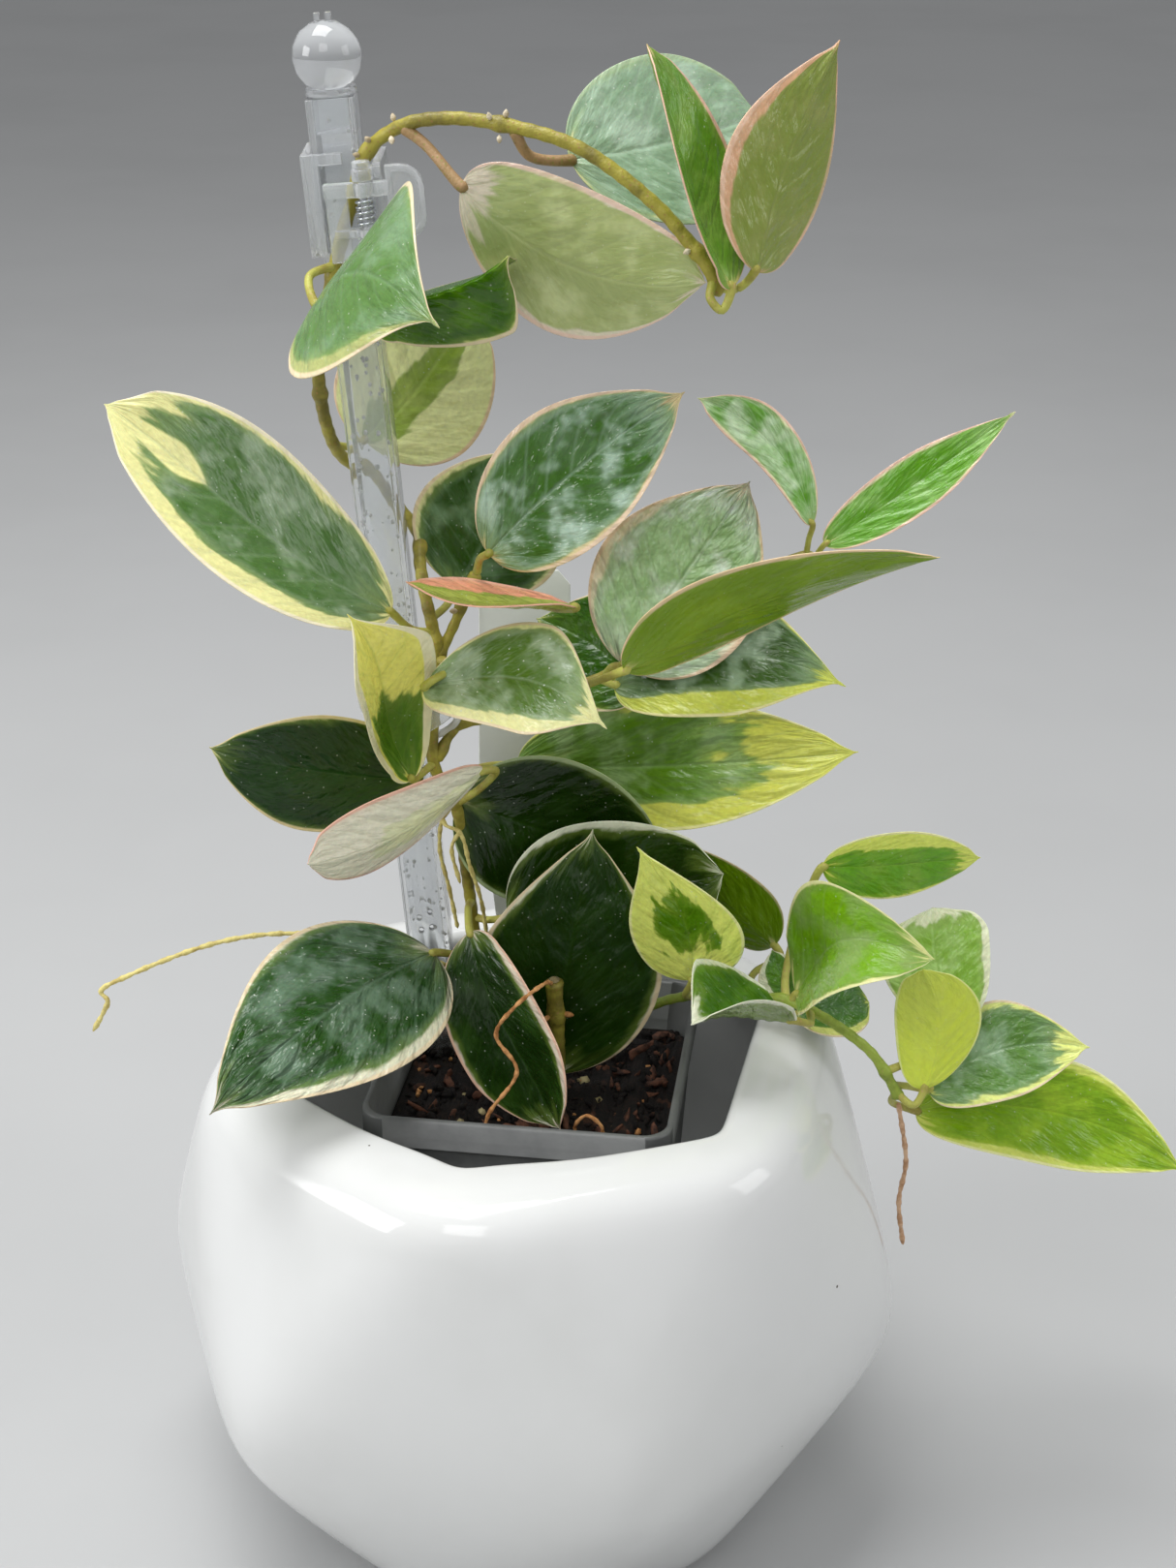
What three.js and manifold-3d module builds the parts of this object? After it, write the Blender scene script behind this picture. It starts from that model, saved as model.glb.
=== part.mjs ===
// A potted hoya: a variegated climbing plant on a clear square stake, growing in a square nursery pot
// that stands inside a white faceted cachepot. Millimetres, +Z up. The origin is the centre of the
// cachepot's flat base, X runs to the right and Y to the back.
import * as THREE from 'three';
import { mergeVertices } from 'three/addons/utils/BufferGeometryUtils.js';
import Module from 'manifold-3d';

const wasm = await Module();
wasm.setup();

// ---- Driving dimensions ----------------------------------------------------------------------
const GAP = 0.3; // air between pieces that touch on the real thing
const TUBE_GAP = 0.36; // the same around a six-sided stem, measured at its corners

const CACHEPOT = {
  turn: -12.9, // degrees, azimuth of the first lower corner from the front
  middle: { radius: 102, z: 62.3 }, // the widest ring of corners, before rounding
  top: { radius: 82, z: 137 },
  base: { radius: 62, z: -2 },
  height: 135.4,
  heart: 62, // height of the point that the rounded faces are measured from
  wall: 6,
  mouth: 63.3, // corner radius of the six-sided opening
  lip: 3,
  roundness: 20, // low is soft, high is sharp
  mouthRoundness: 30,
  frontBlunt: 4.5, // the opening's front corner is blunter than the others
  frontSpread: 20, // degrees
  around: 36,
};

const NURSERY = {
  centre: [3.2, 1.6],
  turn: -8, // degrees about Z
  rimHalf: 37.3,
  topHalf: 36.1,
  bottomHalf: 28.6,
  corner: 6,
  wall: 1,
  rimTop: 131,
  rimBand: 8,
  bottom: CACHEPOT.wall + 1.6,
};

const SOIL = { top: 117.2, bump: 0.9 };

const STAKE = {
  foot: [-17.2, 26.2, 50],
  axis: [-18.3, -5, 254],
  side: 10.5,
  wall: 1.3,
  ballHeight: 316.9, // from the foot to the middle of the ball, along the stake
  ballRadius: 7.65,
  holeRadius: 0.7,
};

const CLIP = {
  height: 286.8, // from the stake's foot to the middle of the clip
  half: 11,
  inner: STAKE.side / 2 + 0.35,
  wall: 1.9,
  pin: { x: 6, y: -13, radius: 0.9 },
  knuckleRadius: 2.3,
  springRadius: 1.85,
  springWire: 0.3,
  springTurns: 5,
};

const BAND = { height: 162.5, width: 4.5, thickness: 1.2, tilt: -30 };
const LABEL = { thickness: 0.8, lean: 8, soilY: 34, soilZ: 118 };
const LEAF = { along: 8, across: 4, middle: 1.3, edge: 0.7, tip: 0.7, petiole: 1.05 };
const STEM_SIDES = 6;

// ---- Colours ---------------------------------------------------------------------------------
const finish = (color, roughness, metalness = 0) => ({ color, roughness, metalness });
const GLAZE = finish(0xf2f3f1, 0.15);
const GREY_PLASTIC = finish(0x8b9094, 0.45);
const MIX = finish(0x2c211b, 0.95);
const CLEAR = finish(0xdfe6e8, 0.12);
const STEEL = finish(0xb9c0c4, 0.3, 1);
const STEM = finish(0x6e6b33, 0.55);
const DRY = finish(0xb98a52, 0.8);
const DARK_LEAF = finish(0x24401d, 0.32);
const GREEN_LEAF = finish(0x5f8f36, 0.36);
const PALE_LEAF = finish(0xc9cf86, 0.4);

// ---- Solids ----------------------------------------------------------------------------------
const V = (x, y, z) => new THREE.Vector3(x, y, z);
const point = (p) => V(p[0], p[1], p[2]);
const radians = THREE.MathUtils.degToRad;

// a closed geometry as a solid that can be joined and cut
function solid(geometry) {
  geometry.deleteAttribute('normal');
  geometry.deleteAttribute('uv');
  const merged = mergeVertices(geometry, 1e-4);
  const vertProperties = new Float32Array(merged.attributes.position.array);
  const triVerts = new Uint32Array(merged.index.array);
  return new wasm.Manifold(new wasm.Mesh({ numProp: 3, vertProperties, triVerts }));
}

function geometryOf(body) {
  const mesh = body.getMesh();
  const geometry = new THREE.BufferGeometry();
  geometry.setAttribute('position', new THREE.BufferAttribute(mesh.vertProperties, 3));
  geometry.setIndex(new THREE.BufferAttribute(mesh.triVerts, 1));
  geometry.computeVertexNormals();
  return geometry;
}

function meshOf(name, body, material) {
  const mesh = new THREE.Mesh(geometryOf(body), new THREE.MeshStandardMaterial(material));
  mesh.name = name;
  return mesh;
}

const join = (bodies) => bodies.reduce((sum, body) => sum.add(body));

function box(x, y, z) {
  const geometry = new THREE.BoxGeometry(x[1] - x[0], y[1] - y[0], z[1] - z[0]);
  return solid(geometry.translate((x[0] + x[1]) / 2, (y[0] + y[1]) / 2, (z[0] + z[1]) / 2));
}

// a round bar along Z
function bar(x, y, radius, z, sides = 12) {
  const geometry = new THREE.CylinderGeometry(radius, radius, z[1] - z[0], sides);
  return solid(geometry.rotateX(Math.PI / 2).translate(x, y, (z[0] + z[1]) / 2));
}

function polygon(radius, sides) {
  const shape = new THREE.Shape();
  for (let i = 0; i < sides; i++) {
    const angle = (2 * Math.PI * i) / sides;
    shape[i ? 'lineTo' : 'moveTo'](radius * Math.cos(angle), radius * Math.sin(angle));
  }
  shape.closePath();
  return shape;
}

// a bar of round section along a smooth curve through the given points
function tube(points, radius, steps, sides = STEM_SIDES) {
  const path = new THREE.CatmullRomCurve3(points.map(point));
  const section = polygon(radius, sides);
  return solid(new THREE.ExtrudeGeometry(section, { steps, extrudePath: path, bevelEnabled: false }));
}

// an upright plate or ring from a flat outline of [x, y] corners
function plate(outline, z, holes = []) {
  const shape = new THREE.Shape(outline.map((p) => new THREE.Vector2(p[0], p[1])));
  shape.holes = holes.map((hole) => new THREE.Path(hole.map((p) => new THREE.Vector2(p[0], p[1]))));
  const geometry = new THREE.ExtrudeGeometry(shape, { depth: z[1] - z[0], bevelEnabled: false });
  return solid(geometry.translate(0, 0, z[0]));
}

// a skin over rings of equal length, closed by a middle point before the first and after the last;
// the rings run counterclockwise and the skin climbs on its outside
function loft(rings, firstPole, lastPole) {
  const count = rings[0].length;
  const corners = [firstPole, ...rings.flat(), lastPole];
  const last = corners.length - 1;
  const at = (i, j) => 1 + i * count + (j % count);
  const faces = [];
  for (let j = 0; j < count; j++) {
    faces.push(0, at(0, j + 1), at(0, j));
    faces.push(last, at(rings.length - 1, j), at(rings.length - 1, j + 1));
    for (let i = 0; i + 1 < rings.length; i++) {
      faces.push(at(i, j), at(i, j + 1), at(i + 1, j + 1));
      faces.push(at(i, j), at(i + 1, j + 1), at(i + 1, j));
    }
  }
  const geometry = new THREE.BufferGeometry();
  geometry.setAttribute('position', new THREE.Float32BufferAttribute(corners.flat(), 3));
  geometry.setIndex(faces);
  return solid(geometry);
}

// ---- Cachepot: a rounded polyhedron with a ring of corners at the base, the middle and the top --
function cornerAt(ring, degrees) {
  const angle = radians(CACHEPOT.turn + degrees);
  return V(ring.radius * Math.sin(angle), -ring.radius * Math.cos(angle), ring.z);
}

function cachepotFaces() {
  const { middle, top, base } = CACHEPOT;
  const heart = V(0, 0, CACHEPOT.heart);
  const faces = [];
  for (let k = 0; k < 6; k++) {
    const turn = 60 * k;
    const side = [cornerAt(middle, turn - 30), cornerAt(middle, turn + 30)];
    for (const ring of [top, base]) {
      const near = cornerAt(ring, turn);
      const next = cornerAt(ring, turn + 60);
      faces.push([side[0], side[1], near], [near, next, side[1]]);
    }
  }
  return faces.map(([a, b, c]) => {
    const normal = b.clone().sub(a).cross(c.clone().sub(a)).normalize();
    const distance = normal.dot(a.clone().sub(heart));
    return { normal: normal.multiplyScalar(Math.sign(distance)), distance: Math.abs(distance) };
  });
}

// how far the rounded skin lies from the heart in a direction: a soft minimum over all faces
function reach(direction, faces, inset) {
  const flats = [
    ...faces,
    { normal: V(0, 0, 1), distance: CACHEPOT.height - CACHEPOT.heart },
    { normal: V(0, 0, -1), distance: CACHEPOT.heart + 0.8 },
  ];
  let sum = 0;
  for (const { normal, distance } of flats) {
    const share = Math.max(0, normal.dot(direction)) / (distance - inset);
    sum += share ** CACHEPOT.roundness;
  }
  return 1 / sum ** (1 / CACHEPOT.roundness);
}

function mouthRadius(angle) {
  const apothem = CACHEPOT.mouth * Math.cos(Math.PI / 6);
  let sum = 0;
  for (let k = 0; k < 6; k++) {
    const share = Math.max(0, Math.cos(angle - radians(CACHEPOT.turn + 30 + 60 * k))) / apothem;
    sum += share ** CACHEPOT.mouthRoundness;
  }
  const off = Math.atan2(Math.sin(angle - radians(CACHEPOT.turn)), Math.cos(angle - radians(CACHEPOT.turn)));
  const blunt = CACHEPOT.frontBlunt * Math.exp(-((off / radians(CACHEPOT.frontSpread)) ** 2));
  return 1 / sum ** (1 / CACHEPOT.mouthRoundness) - blunt;
}

function cachepot() {
  const faces = cachepotFaces();
  const floor = CACHEPOT.wall;
  const skin = (angle, elevation, inset, lowest) => {
    const flat = Math.cos(elevation);
    const direction = V(flat * Math.sin(angle), -flat * Math.cos(angle), Math.sin(elevation));
    const away = reach(direction, faces, inset);
    const z = CACHEPOT.heart + away * direction.z;
    return [away * direction.x, away * direction.y, Math.max(z, lowest)];
  };
  const outside = [-62, -50, -42, -30, -16, -3, 12, 26, 38];
  const inside = [30, 0, -22, -42, -60];
  const rings = [];
  const everyAngle = (ringPoint) => {
    const ring = [];
    for (let j = 0; j < CACHEPOT.around; j++) {
      ring.push(ringPoint(radians(CACHEPOT.turn) + (2 * Math.PI * j) / CACHEPOT.around));
    }
    rings.push(ring);
  };
  for (const degrees of outside) {
    everyAngle((angle) => skin(angle, radians(degrees), 0, 0));
  }
  const rim = CACHEPOT.height - CACHEPOT.heart;
  for (const turn of [0, 60, 120, 180]) {
    everyAngle((angle) => {
      const wide = mouthRadius(angle) + CACHEPOT.lip;
      const over = skin(angle, Math.atan2(rim, wide), 0, 0);
      const under = skin(angle, Math.atan2(rim - floor, wide), CACHEPOT.wall, floor);
      const part = (1 - Math.cos(radians(turn))) / 2;
      const inward = CACHEPOT.lip * Math.sin(radians(turn));
      return over.map((value, axis) => {
        const pull = [Math.sin(angle), -Math.cos(angle), 0][axis] * inward;
        return value + (under[axis] - value) * part - pull;
      });
    });
  }
  for (const degrees of inside) {
    everyAngle((angle) => skin(angle, radians(degrees), CACHEPOT.wall, floor));
  }
  return loft(rings, [0, 0, 0], [0, 0, floor]);
}

// ---- Nursery pot and its potting mix -----------------------------------------------------------
const nurseryPlace = new THREE.Matrix4()
  .makeTranslation(NURSERY.centre[0], NURSERY.centre[1], 0)
  .multiply(new THREE.Matrix4().makeRotationZ(radians(NURSERY.turn)));
const inNursery = (body) => body.transform(nurseryPlace.elements);

// a square ring with rounded corners
function squareRing(half, corner, z, perCorner = 4) {
  const ring = [];
  for (let quarter = 0; quarter < 4; quarter++) {
    const middle = (Math.PI / 2) * quarter + Math.PI / 4;
    const x = Math.sign(Math.cos(middle)) * (half - corner);
    const y = Math.sign(Math.sin(middle)) * (half - corner);
    for (let i = 0; i < perCorner; i++) {
      const angle = (Math.PI / 2) * (quarter + i / (perCorner - 1));
      ring.push([x + corner * Math.cos(angle), y + corner * Math.sin(angle), z]);
    }
  }
  return ring;
}

function nurseryHalf(z) {
  const { bottom, rimTop, rimBand, topHalf, bottomHalf } = NURSERY;
  const part = (z - bottom) / (rimTop - rimBand - bottom);
  return bottomHalf + (topHalf - bottomHalf) * part;
}

function nurseryPot() {
  const { bottom, rimTop, rimBand, rimHalf, corner, wall } = NURSERY;
  const band = rimTop - rimBand;
  const rings = [
    squareRing(nurseryHalf(bottom) - 2, corner - 2, bottom),
    squareRing(nurseryHalf(bottom + 2), corner - 1, bottom + 2),
    squareRing(nurseryHalf(band), corner, band),
    squareRing(rimHalf, corner, band + 0.6),
    squareRing(rimHalf, corner, rimTop),
    squareRing(nurseryHalf(rimTop) - wall, corner - 1, rimTop),
    squareRing(nurseryHalf(bottom + 4) - wall, corner - 2, bottom + 4),
    squareRing(nurseryHalf(bottom + wall) - wall - 2, corner - 3, bottom + wall),
  ];
  return inNursery(loft(rings, [0, 0, bottom], [0, 0, bottom + wall]));
}

// low mounds and dips of the mix's surface
function soilHeight(x, y) {
  const waves = Math.sin(0.31 * x + 1.1) * Math.cos(0.27 * y - 0.4) + 0.6 * Math.sin(0.62 * y + 0.33 * x);
  return SOIL.top + SOIL.bump * waves;
}

function pottingMix(cuts) {
  const { bottom, wall, corner } = NURSERY;
  const low = bottom + wall + GAP;
  const inset = wall + GAP;
  const edge = SOIL.top - 1;
  const rings = [
    squareRing(nurseryHalf(low) - inset - 3, corner - 3, low),
    squareRing(nurseryHalf(low + 4) - inset, corner - 2, low + 4),
    squareRing(nurseryHalf(edge) - inset, corner - 2, edge),
  ];
  const full = nurseryHalf(edge) - inset;
  for (const share of [0.93, 0.74, 0.5, 0.25]) {
    const ring = squareRing(full * share, (corner - 2) * share, 0);
    rings.push(ring.map(([x, y]) => [x, y, soilHeight(x, y)]));
  }
  const mix = inNursery(loft(rings, [0, 0, low], [0, 0, soilHeight(0, 0)]));
  return cuts.reduce((rest, cut) => rest.subtract(cut), mix);
}

// ---- Stake, with its frame: Z runs up the stake, X to the right ---------------------------------
const stakePlace = (() => {
  const up = point(STAKE.axis).normalize();
  const right = V(1, 0, 0).addScaledVector(up, -up.x).normalize();
  const back = up.clone().cross(right);
  return new THREE.Matrix4().makeBasis(right, back, up).setPosition(...STAKE.foot);
})();
const tubeTop = STAKE.ballHeight - STAKE.ballRadius - GAP;

const square = (half) => [[-half, -half], [half, -half], [half, half], [-half, half]];

function stake() {
  const half = STAKE.side / 2;
  const tubeWall = plate(square(half), [0, tubeTop], [square(half - STAKE.wall).reverse()]);
  const drill = (x, z) => {
    const geometry = new THREE.CylinderGeometry(STAKE.holeRadius, STAKE.holeRadius, 3, 8);
    return solid(geometry.translate(x, -half, z));
  };
  const holes = [[-1.6, 108], [1.2, 109.4], [-1.4, 104.4], [1.3, 105]];
  return holes.reduce((rest, [x, z]) => rest.subtract(drill(x, z)), tubeWall);
}

function stakeBall() {
  const peg = STAKE.side / 2 - STAKE.wall - GAP;
  const radius = STAKE.ballRadius;
  const ball = solid(new THREE.SphereGeometry(radius, 14, 8).rotateX(Math.PI / 2));
  const collar = bar(0, 0, radius * 0.72, [-radius, -radius + 1.4], 18);
  const plug = box([-peg, peg], [-peg, peg], [-radius - 8, -radius + 1]);
  const prong = (x) => box([x - 0.6, x + 0.6], [-0.8, 0.8], [radius - 0.6, radius + 1.4]);
  const body = join([ball, collar, plug, prong(-1.2), prong(1.2)]);
  return body.translate([0, 0, STAKE.ballHeight]);
}

// ---- Spring clip near the top: a fixed jaw, a lever on its pin, and a coil spring ----------------
const { pin } = CLIP;
const eye = (z) => bar(pin.x, pin.y, CLIP.knuckleRadius, z, 12);

function clipJaw() {
  const { half, inner, wall } = CLIP;
  const outer = inner + wall;
  const right = 8;
  const upper = [6.2, 8.6];
  const lower = [-8.6, -6.2];
  const walls = [
    box([-outer, -inner], [-outer, outer], [-half, half]),
    box([-outer, right + wall], [inner, outer], [-half + 2, half - 2]),
    box([right, right + wall], [-9.4, outer], [-half + 2, half - 2]),
    box([-outer, -3.9], [-outer, -inner], [-half, half]),
    box([-outer, 1.4], [-outer, -inner], [half - 2.4, half]),
  ];
  const lug = (z) => box([pin.x + 0.6, right + wall], [pin.y + 1.4, -9], z);
  const axle = bar(pin.x, pin.y, pin.radius, [-8.6, 8.6]);
  const cap = bar(pin.x, pin.y, 2, [8.4, 10.2]);
  return join([...walls, lug(upper), lug(lower), eye(upper), eye(lower), axle, cap]);
}

// the lever's grip: a rounded tab with a raised rim
function gripOutline(inset) {
  const low = -7 + inset;
  const high = 9 - inset;
  const far = 19 - inset;
  const corner = 5 - inset;
  const points = [[11 + inset, low]];
  for (const [x, y, start] of [[far - corner, low + corner, -90], [far - corner, high - corner, 0]]) {
    for (let i = 0; i <= 4; i++) {
      const angle = radians(start + 22.5 * i);
      points.push([x + corner * Math.cos(angle), y + corner * Math.sin(angle)]);
    }
  }
  points.push([11 + inset, high]);
  return points;
}

function clipLever() {
  const upper = [2.8, 5.8];
  const lower = [-5.8, -4.2];
  const hub = (z) => {
    const ring = eye(z);
    return ring.subtract(bar(pin.x, pin.y, pin.radius + 0.35, [z[0] - 1, z[1] + 1]));
  };
  const bore = bar(pin.x, pin.y, pin.radius + 0.35, [-9, 9]);
  const arm = (x, z) => box(x, [pin.y - 1.5, pin.y + 0.9], z).subtract(bore);
  const claw = box([-2.5, 2.1], [pin.y + 0.5, pin.y + 3.1], [-11.4, 4.6]);
  const flat = (outline, y) => {
    const turned = new THREE.Matrix4().makeRotationX(Math.PI / 2);
    return plate(outline, [-y[1], -y[0]]).transform(turned.elements);
  };
  const grip = flat(gripOutline(0), [pin.y - 0.7, pin.y + 0.7]);
  const rim = plate(gripOutline(0), [0, 2.4], [gripOutline(1.3).reverse()]);
  const turned = new THREE.Matrix4().makeRotationX(Math.PI / 2).setPosition(0, pin.y + 1.2, 0);
  return join([
    hub(upper), hub(lower), claw,
    arm([-2.5, pin.x], upper), arm([-1, pin.x], lower),
    arm([pin.x + 1.5, 11.6], upper), arm([pin.x + 1.5, 11.6], lower),
    grip, rim.transform(turned.elements),
  ]);
}

function clipSpring() {
  const { springRadius, springWire, springTurns } = CLIP;
  const from = -4.2 + GAP + springWire;
  const to = 2.8 - GAP - springWire;
  const points = [];
  for (let i = 0; i <= springTurns * 7; i++) {
    const part = i / (springTurns * 7);
    const angle = 2 * Math.PI * springTurns * part;
    const x = pin.x + springRadius * Math.cos(angle);
    points.push([x, pin.y + springRadius * Math.sin(angle), from + (to - from) * part]);
  }
  return tube(points, springWire, springTurns * 7, 4);
}

// ---- Band that holds the vine to the stake half way up ------------------------------------------
function vineBand() {
  const { width, thickness } = BAND;
  const inner = [[-8, -6], [-8.6, 0], [-7.6, 6.4], [0, 8], [7.4, 6.6], [10.8, 0], [14.2, -8], [13.4, -14.4],
    [7, -15], [-1, -9.6]];
  const curve = new THREE.CatmullRomCurve3(inner.map((p) => V(p[0], p[1], 0)), true);
  const outline = curve.getPoints(20).slice(0, -1);
  const middle = V(2, -4, 0);
  const outer = outline.map((p) => {
    const away = p.clone().sub(middle).normalize().multiplyScalar(thickness);
    return [p.x + away.x, p.y + away.y];
  });
  const hole = outline.map((p) => [p.x, p.y]).reverse();
  return plate(outer, [-width / 2, width / 2], [hole]);
}

// ---- Plant label: a thin plate that stands in the mix and leans back ----------------------------
function plantLabel(grow = 0) {
  const outline = [[-1.2, 93], [3, 93], [7.6, 118], [11, 152], [11.6, 190], [11.4, 236], [8.4, 239.6],
    [-8.4, 239.6], [-11.4, 236], [-12, 190], [-8.6, 152], [-4.6, 118]];
  const middle = [0.5, 166];
  const wide = outline.map(([x, z]) => [
    x + Math.sign(x - middle[0]) * grow,
    z + Math.sign(z - middle[1]) * grow - LABEL.soilZ,
  ]);
  const half = LABEL.thickness / 2 + grow;
  const place = new THREE.Matrix4()
    .makeTranslation(0, LABEL.soilY, LABEL.soilZ)
    .multiply(new THREE.Matrix4().makeRotationX(Math.PI / 2 - radians(LABEL.lean)));
  return plate(wide, [-half, half]).transform(place.elements);
}

// ---- Stems and roots -----------------------------------------------------------------------------
const MAIN_VINE = [
  [-12, 21, 108], [-12.4, 20, 146.6], [-14.6, 17, 174.3], [-16.4, 13, 192.2], [-21, 10, 203.9],
  [-21, 12, 215.6], [-19.4, 11, 231], [-22.2, 15, 245.4], [-23.6, 20, 251.6], [-24.4, 28.4, 255.6],
  [-28.8, 32.6, 260.6], [-34.5, 33, 268.6], [-40.4, 30, 273], [-43.4, 24, 280.3], [-44.6, 16, 299.2], [-39.5, 13, 322.7],
  [-35.5, 13, 335.9], [-31.7, 12.9, 347], [-23.8, 10, 353.2], [-14.6, 8, 355.1], [-2.5, 5, 354.4],
  [13.6, 1, 350.4], [29.6, -3, 339.6], [36.2, -4, 332.7], [41.2, -5, 326.4], [43.8, -5, 320.4],
];
const MIDDLE_SHOOT = [[-19.4, 11, 231], [-15.1, 13.5, 239.5], [-12.7, 14.5, 245.8], [-9.8, 15.2, 251.2]];
const RIGHT_SHOOT = [
  [-20.6, 10, 204.6], [-15.9, 14, 211.7], [-9, 16, 213.4], [3.7, 18, 215.6], [15.3, 18, 221.6],
  [32.6, 20, 229.8], [48.6, 22, 241.3], [62.3, 22, 251], [69.5, 22, 252.5],
];
const TRAILING_VINE = [
  [13, 20, 108], [16, 19.6, 118.5], [24, 18, 126.4], [33.8, 18, 133.4], [48.2, 12, 139.6], [58.7, 6, 142],
  [64.8, 2, 143.6], [73.5, -3, 141.8], [80.7, -5, 137.4], [86.2, -5, 132], [92.3, -5, 121.3], [93, -5, 119.4],
];
const STUMP = [[8, -1, 108], [8.1, -2.6, 135.7], [7.5, -4.6, 153.4]];
const STUMP_ROOT = [
  [7, -5.6, 152.8], [5.4, -14, 157.6], [-1.4, -22, 156], [-6, -21.6, 148], [-1.1, -24, 139.5], [-8, -27, 129],
  [-9.5, -28, 121],
];
const LEFT_ROOT = [
  [-12.4, 20, 141], [-18, 12, 147.5], [-34, 10, 154.4], [-55.6, 8, 159.1], [-74, 6, 158], [-97.2, 4, 149.6],
  [-104.5, 3, 145.5], [-102.8, 2, 143.6], [-104.1, 2, 140.2], [-107.2, 2, 134.7],
];
const STAKE_ROOTS = [
  [[-16.4, 13, 192.2], [-19.5, 13.6, 188], [-20.6, 15, 179], [-18.6, 15.4, 168], [-16.8, 16.4, 156]],
  [[-19.5, 13.6, 188], [-18.6, 10.8, 187.4], [-15.4, 10, 186], [-13, 11, 176], [-10.6, 12.6, 166], [-9.4, 15.4, 154]],
  [[-15.4, 10, 186], [-17.4, 11.4, 181], [-15.6, 11.8, 171]],
];
const HANGING_ROOT = [
  [92.9, -4.8, 119.4], [93.6, -5, 115], [95.9, -5, 100.6], [94.8, -5, 88.8], [96.6, -5, 75.3],
];
const RADIUS = { main: 1.45, shoot: 1.2, trailing: 1.25, stump: 2.1, root: 0.65 };

function climbingVine(grow = 0) {
  return join([
    tube(MAIN_VINE, RADIUS.main + grow, 44),
    tube(MIDDLE_SHOOT, RADIUS.shoot + grow, 5),
    tube(RIGHT_SHOOT, RADIUS.shoot + grow, 13),
  ]);
}

const trailingVine = (grow = 0) => tube(TRAILING_VINE, RADIUS.trailing + grow, 22);

function cutStump() {
  const nub = (p, size) => solid(new THREE.IcosahedronGeometry(size, 0).translate(...p));
  return join([
    tube(STUMP, RADIUS.stump, 6, 8),
    nub([10.2, -3.4, 143], 1.3),
    nub([5.6, -3.4, 141.4], 1.2),
    nub([7.5, -4.4, 152], 2.5),
    tube(STUMP_ROOT, RADIUS.root, 12, 5),
  ]);
}

// ---- Leaves --------------------------------------------------------------------------------------
// A leaf runs from base to tip. Its outline is a quarter ellipse up to the widest place and a cosine to
// the tip; face is roughly where its upper side looks. fold lifts both halves, arch and droop bend the
// midrib out of the flat, bend turns it sideways and twist turns the section about it.
function leafBlade(leaf) {
  const { arch = 0, droop = 0, bend = 0, twist = 0, fold = 8, widest = 0.42, sharp = 1 } = leaf;
  const base = point(leaf.base);
  const along = point(leaf.tip).sub(base);
  const length = along.length();
  along.normalize();
  const face = point(leaf.face);
  const up = face.clone().addScaledVector(along, -face.dot(along)).normalize();
  const side = along.clone().cross(up);
  const rows = leaf.width < 20 ? LEAF.along - 3 : LEAF.along;
  const top = [];
  const under = [];
  for (let i = 0; i <= rows; i++) {
    const u = i / rows;
    const swell = u < widest
      ? Math.sqrt(1 - (1 - u / widest) ** 2)
      : Math.cos((Math.PI / 2) * ((u - widest) / (1 - widest))) ** sharp;
    const half = Math.max((leaf.width / 2) * swell, LEAF.tip);
    const hump = 4 * u * (1 - u);
    const middle = base.clone()
      .addScaledVector(along, u * length)
      .addScaledVector(up, (arch * hump + droop * hump * (2 * u - 1)) * length)
      .addScaledVector(side, bend * hump * length);
    const turn = radians(twist) * (u - 0.5);
    const normal = up.clone().multiplyScalar(Math.cos(turn)).addScaledVector(side, Math.sin(turn));
    const across = side.clone().multiplyScalar(Math.cos(turn)).addScaledVector(up, -Math.sin(turn));
    const flatten = Math.min(1, Math.min(u / 0.12, (1 - u) / 0.08) * 0.6 + 0.4);
    const lift = radians(fold) * flatten;
    for (let j = 0; j <= LEAF.across; j++) {
      const v = (2 * j) / LEAF.across - 1;
      const skin = middle.clone()
        .addScaledVector(across, half * Math.cos(lift) * v)
        .addScaledVector(normal, half * Math.sin(lift) * Math.abs(v));
      const thickness = LEAF.middle + (LEAF.edge - LEAF.middle) * Math.abs(v);
      top.push(skin.clone().addScaledVector(normal, thickness / 2));
      under.push(skin.clone().addScaledVector(normal, -thickness / 2));
    }
  }
  return { body: thickSheet(top, under, rows, LEAF.across), along, base };
}

// two grids of points, cut into triangles alike, joined by a rim
function thickSheet(top, under, rows, columns) {
  const offset = top.length;
  const at = (i, j) => i * (columns + 1) + j;
  const faces = [];
  for (let i = 0; i < rows; i++) {
    for (let j = 0; j < columns; j++) {
      const [a, b, c, d] = [at(i, j), at(i, j + 1), at(i + 1, j + 1), at(i + 1, j)];
      faces.push(a, b, c, a, c, d);
      faces.push(offset + a, offset + c, offset + b, offset + a, offset + d, offset + c);
    }
  }
  const edge = [];
  for (let j = 0; j < columns; j++) edge.push(at(0, j));
  for (let i = 0; i < rows; i++) edge.push(at(i, columns));
  for (let j = columns; j > 0; j--) edge.push(at(rows, j));
  for (let i = rows; i > 0; i--) edge.push(at(i, 0));
  edge.forEach((from, index) => {
    const to = edge[(index + 1) % edge.length];
    faces.push(to, from, offset + from, to, offset + from, offset + to);
  });
  const geometry = new THREE.BufferGeometry();
  const points = [...top, ...under].flatMap((p) => p.toArray());
  geometry.setAttribute('position', new THREE.Float32BufferAttribute(points, 3));
  geometry.setIndex(faces);
  return solid(geometry);
}

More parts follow.
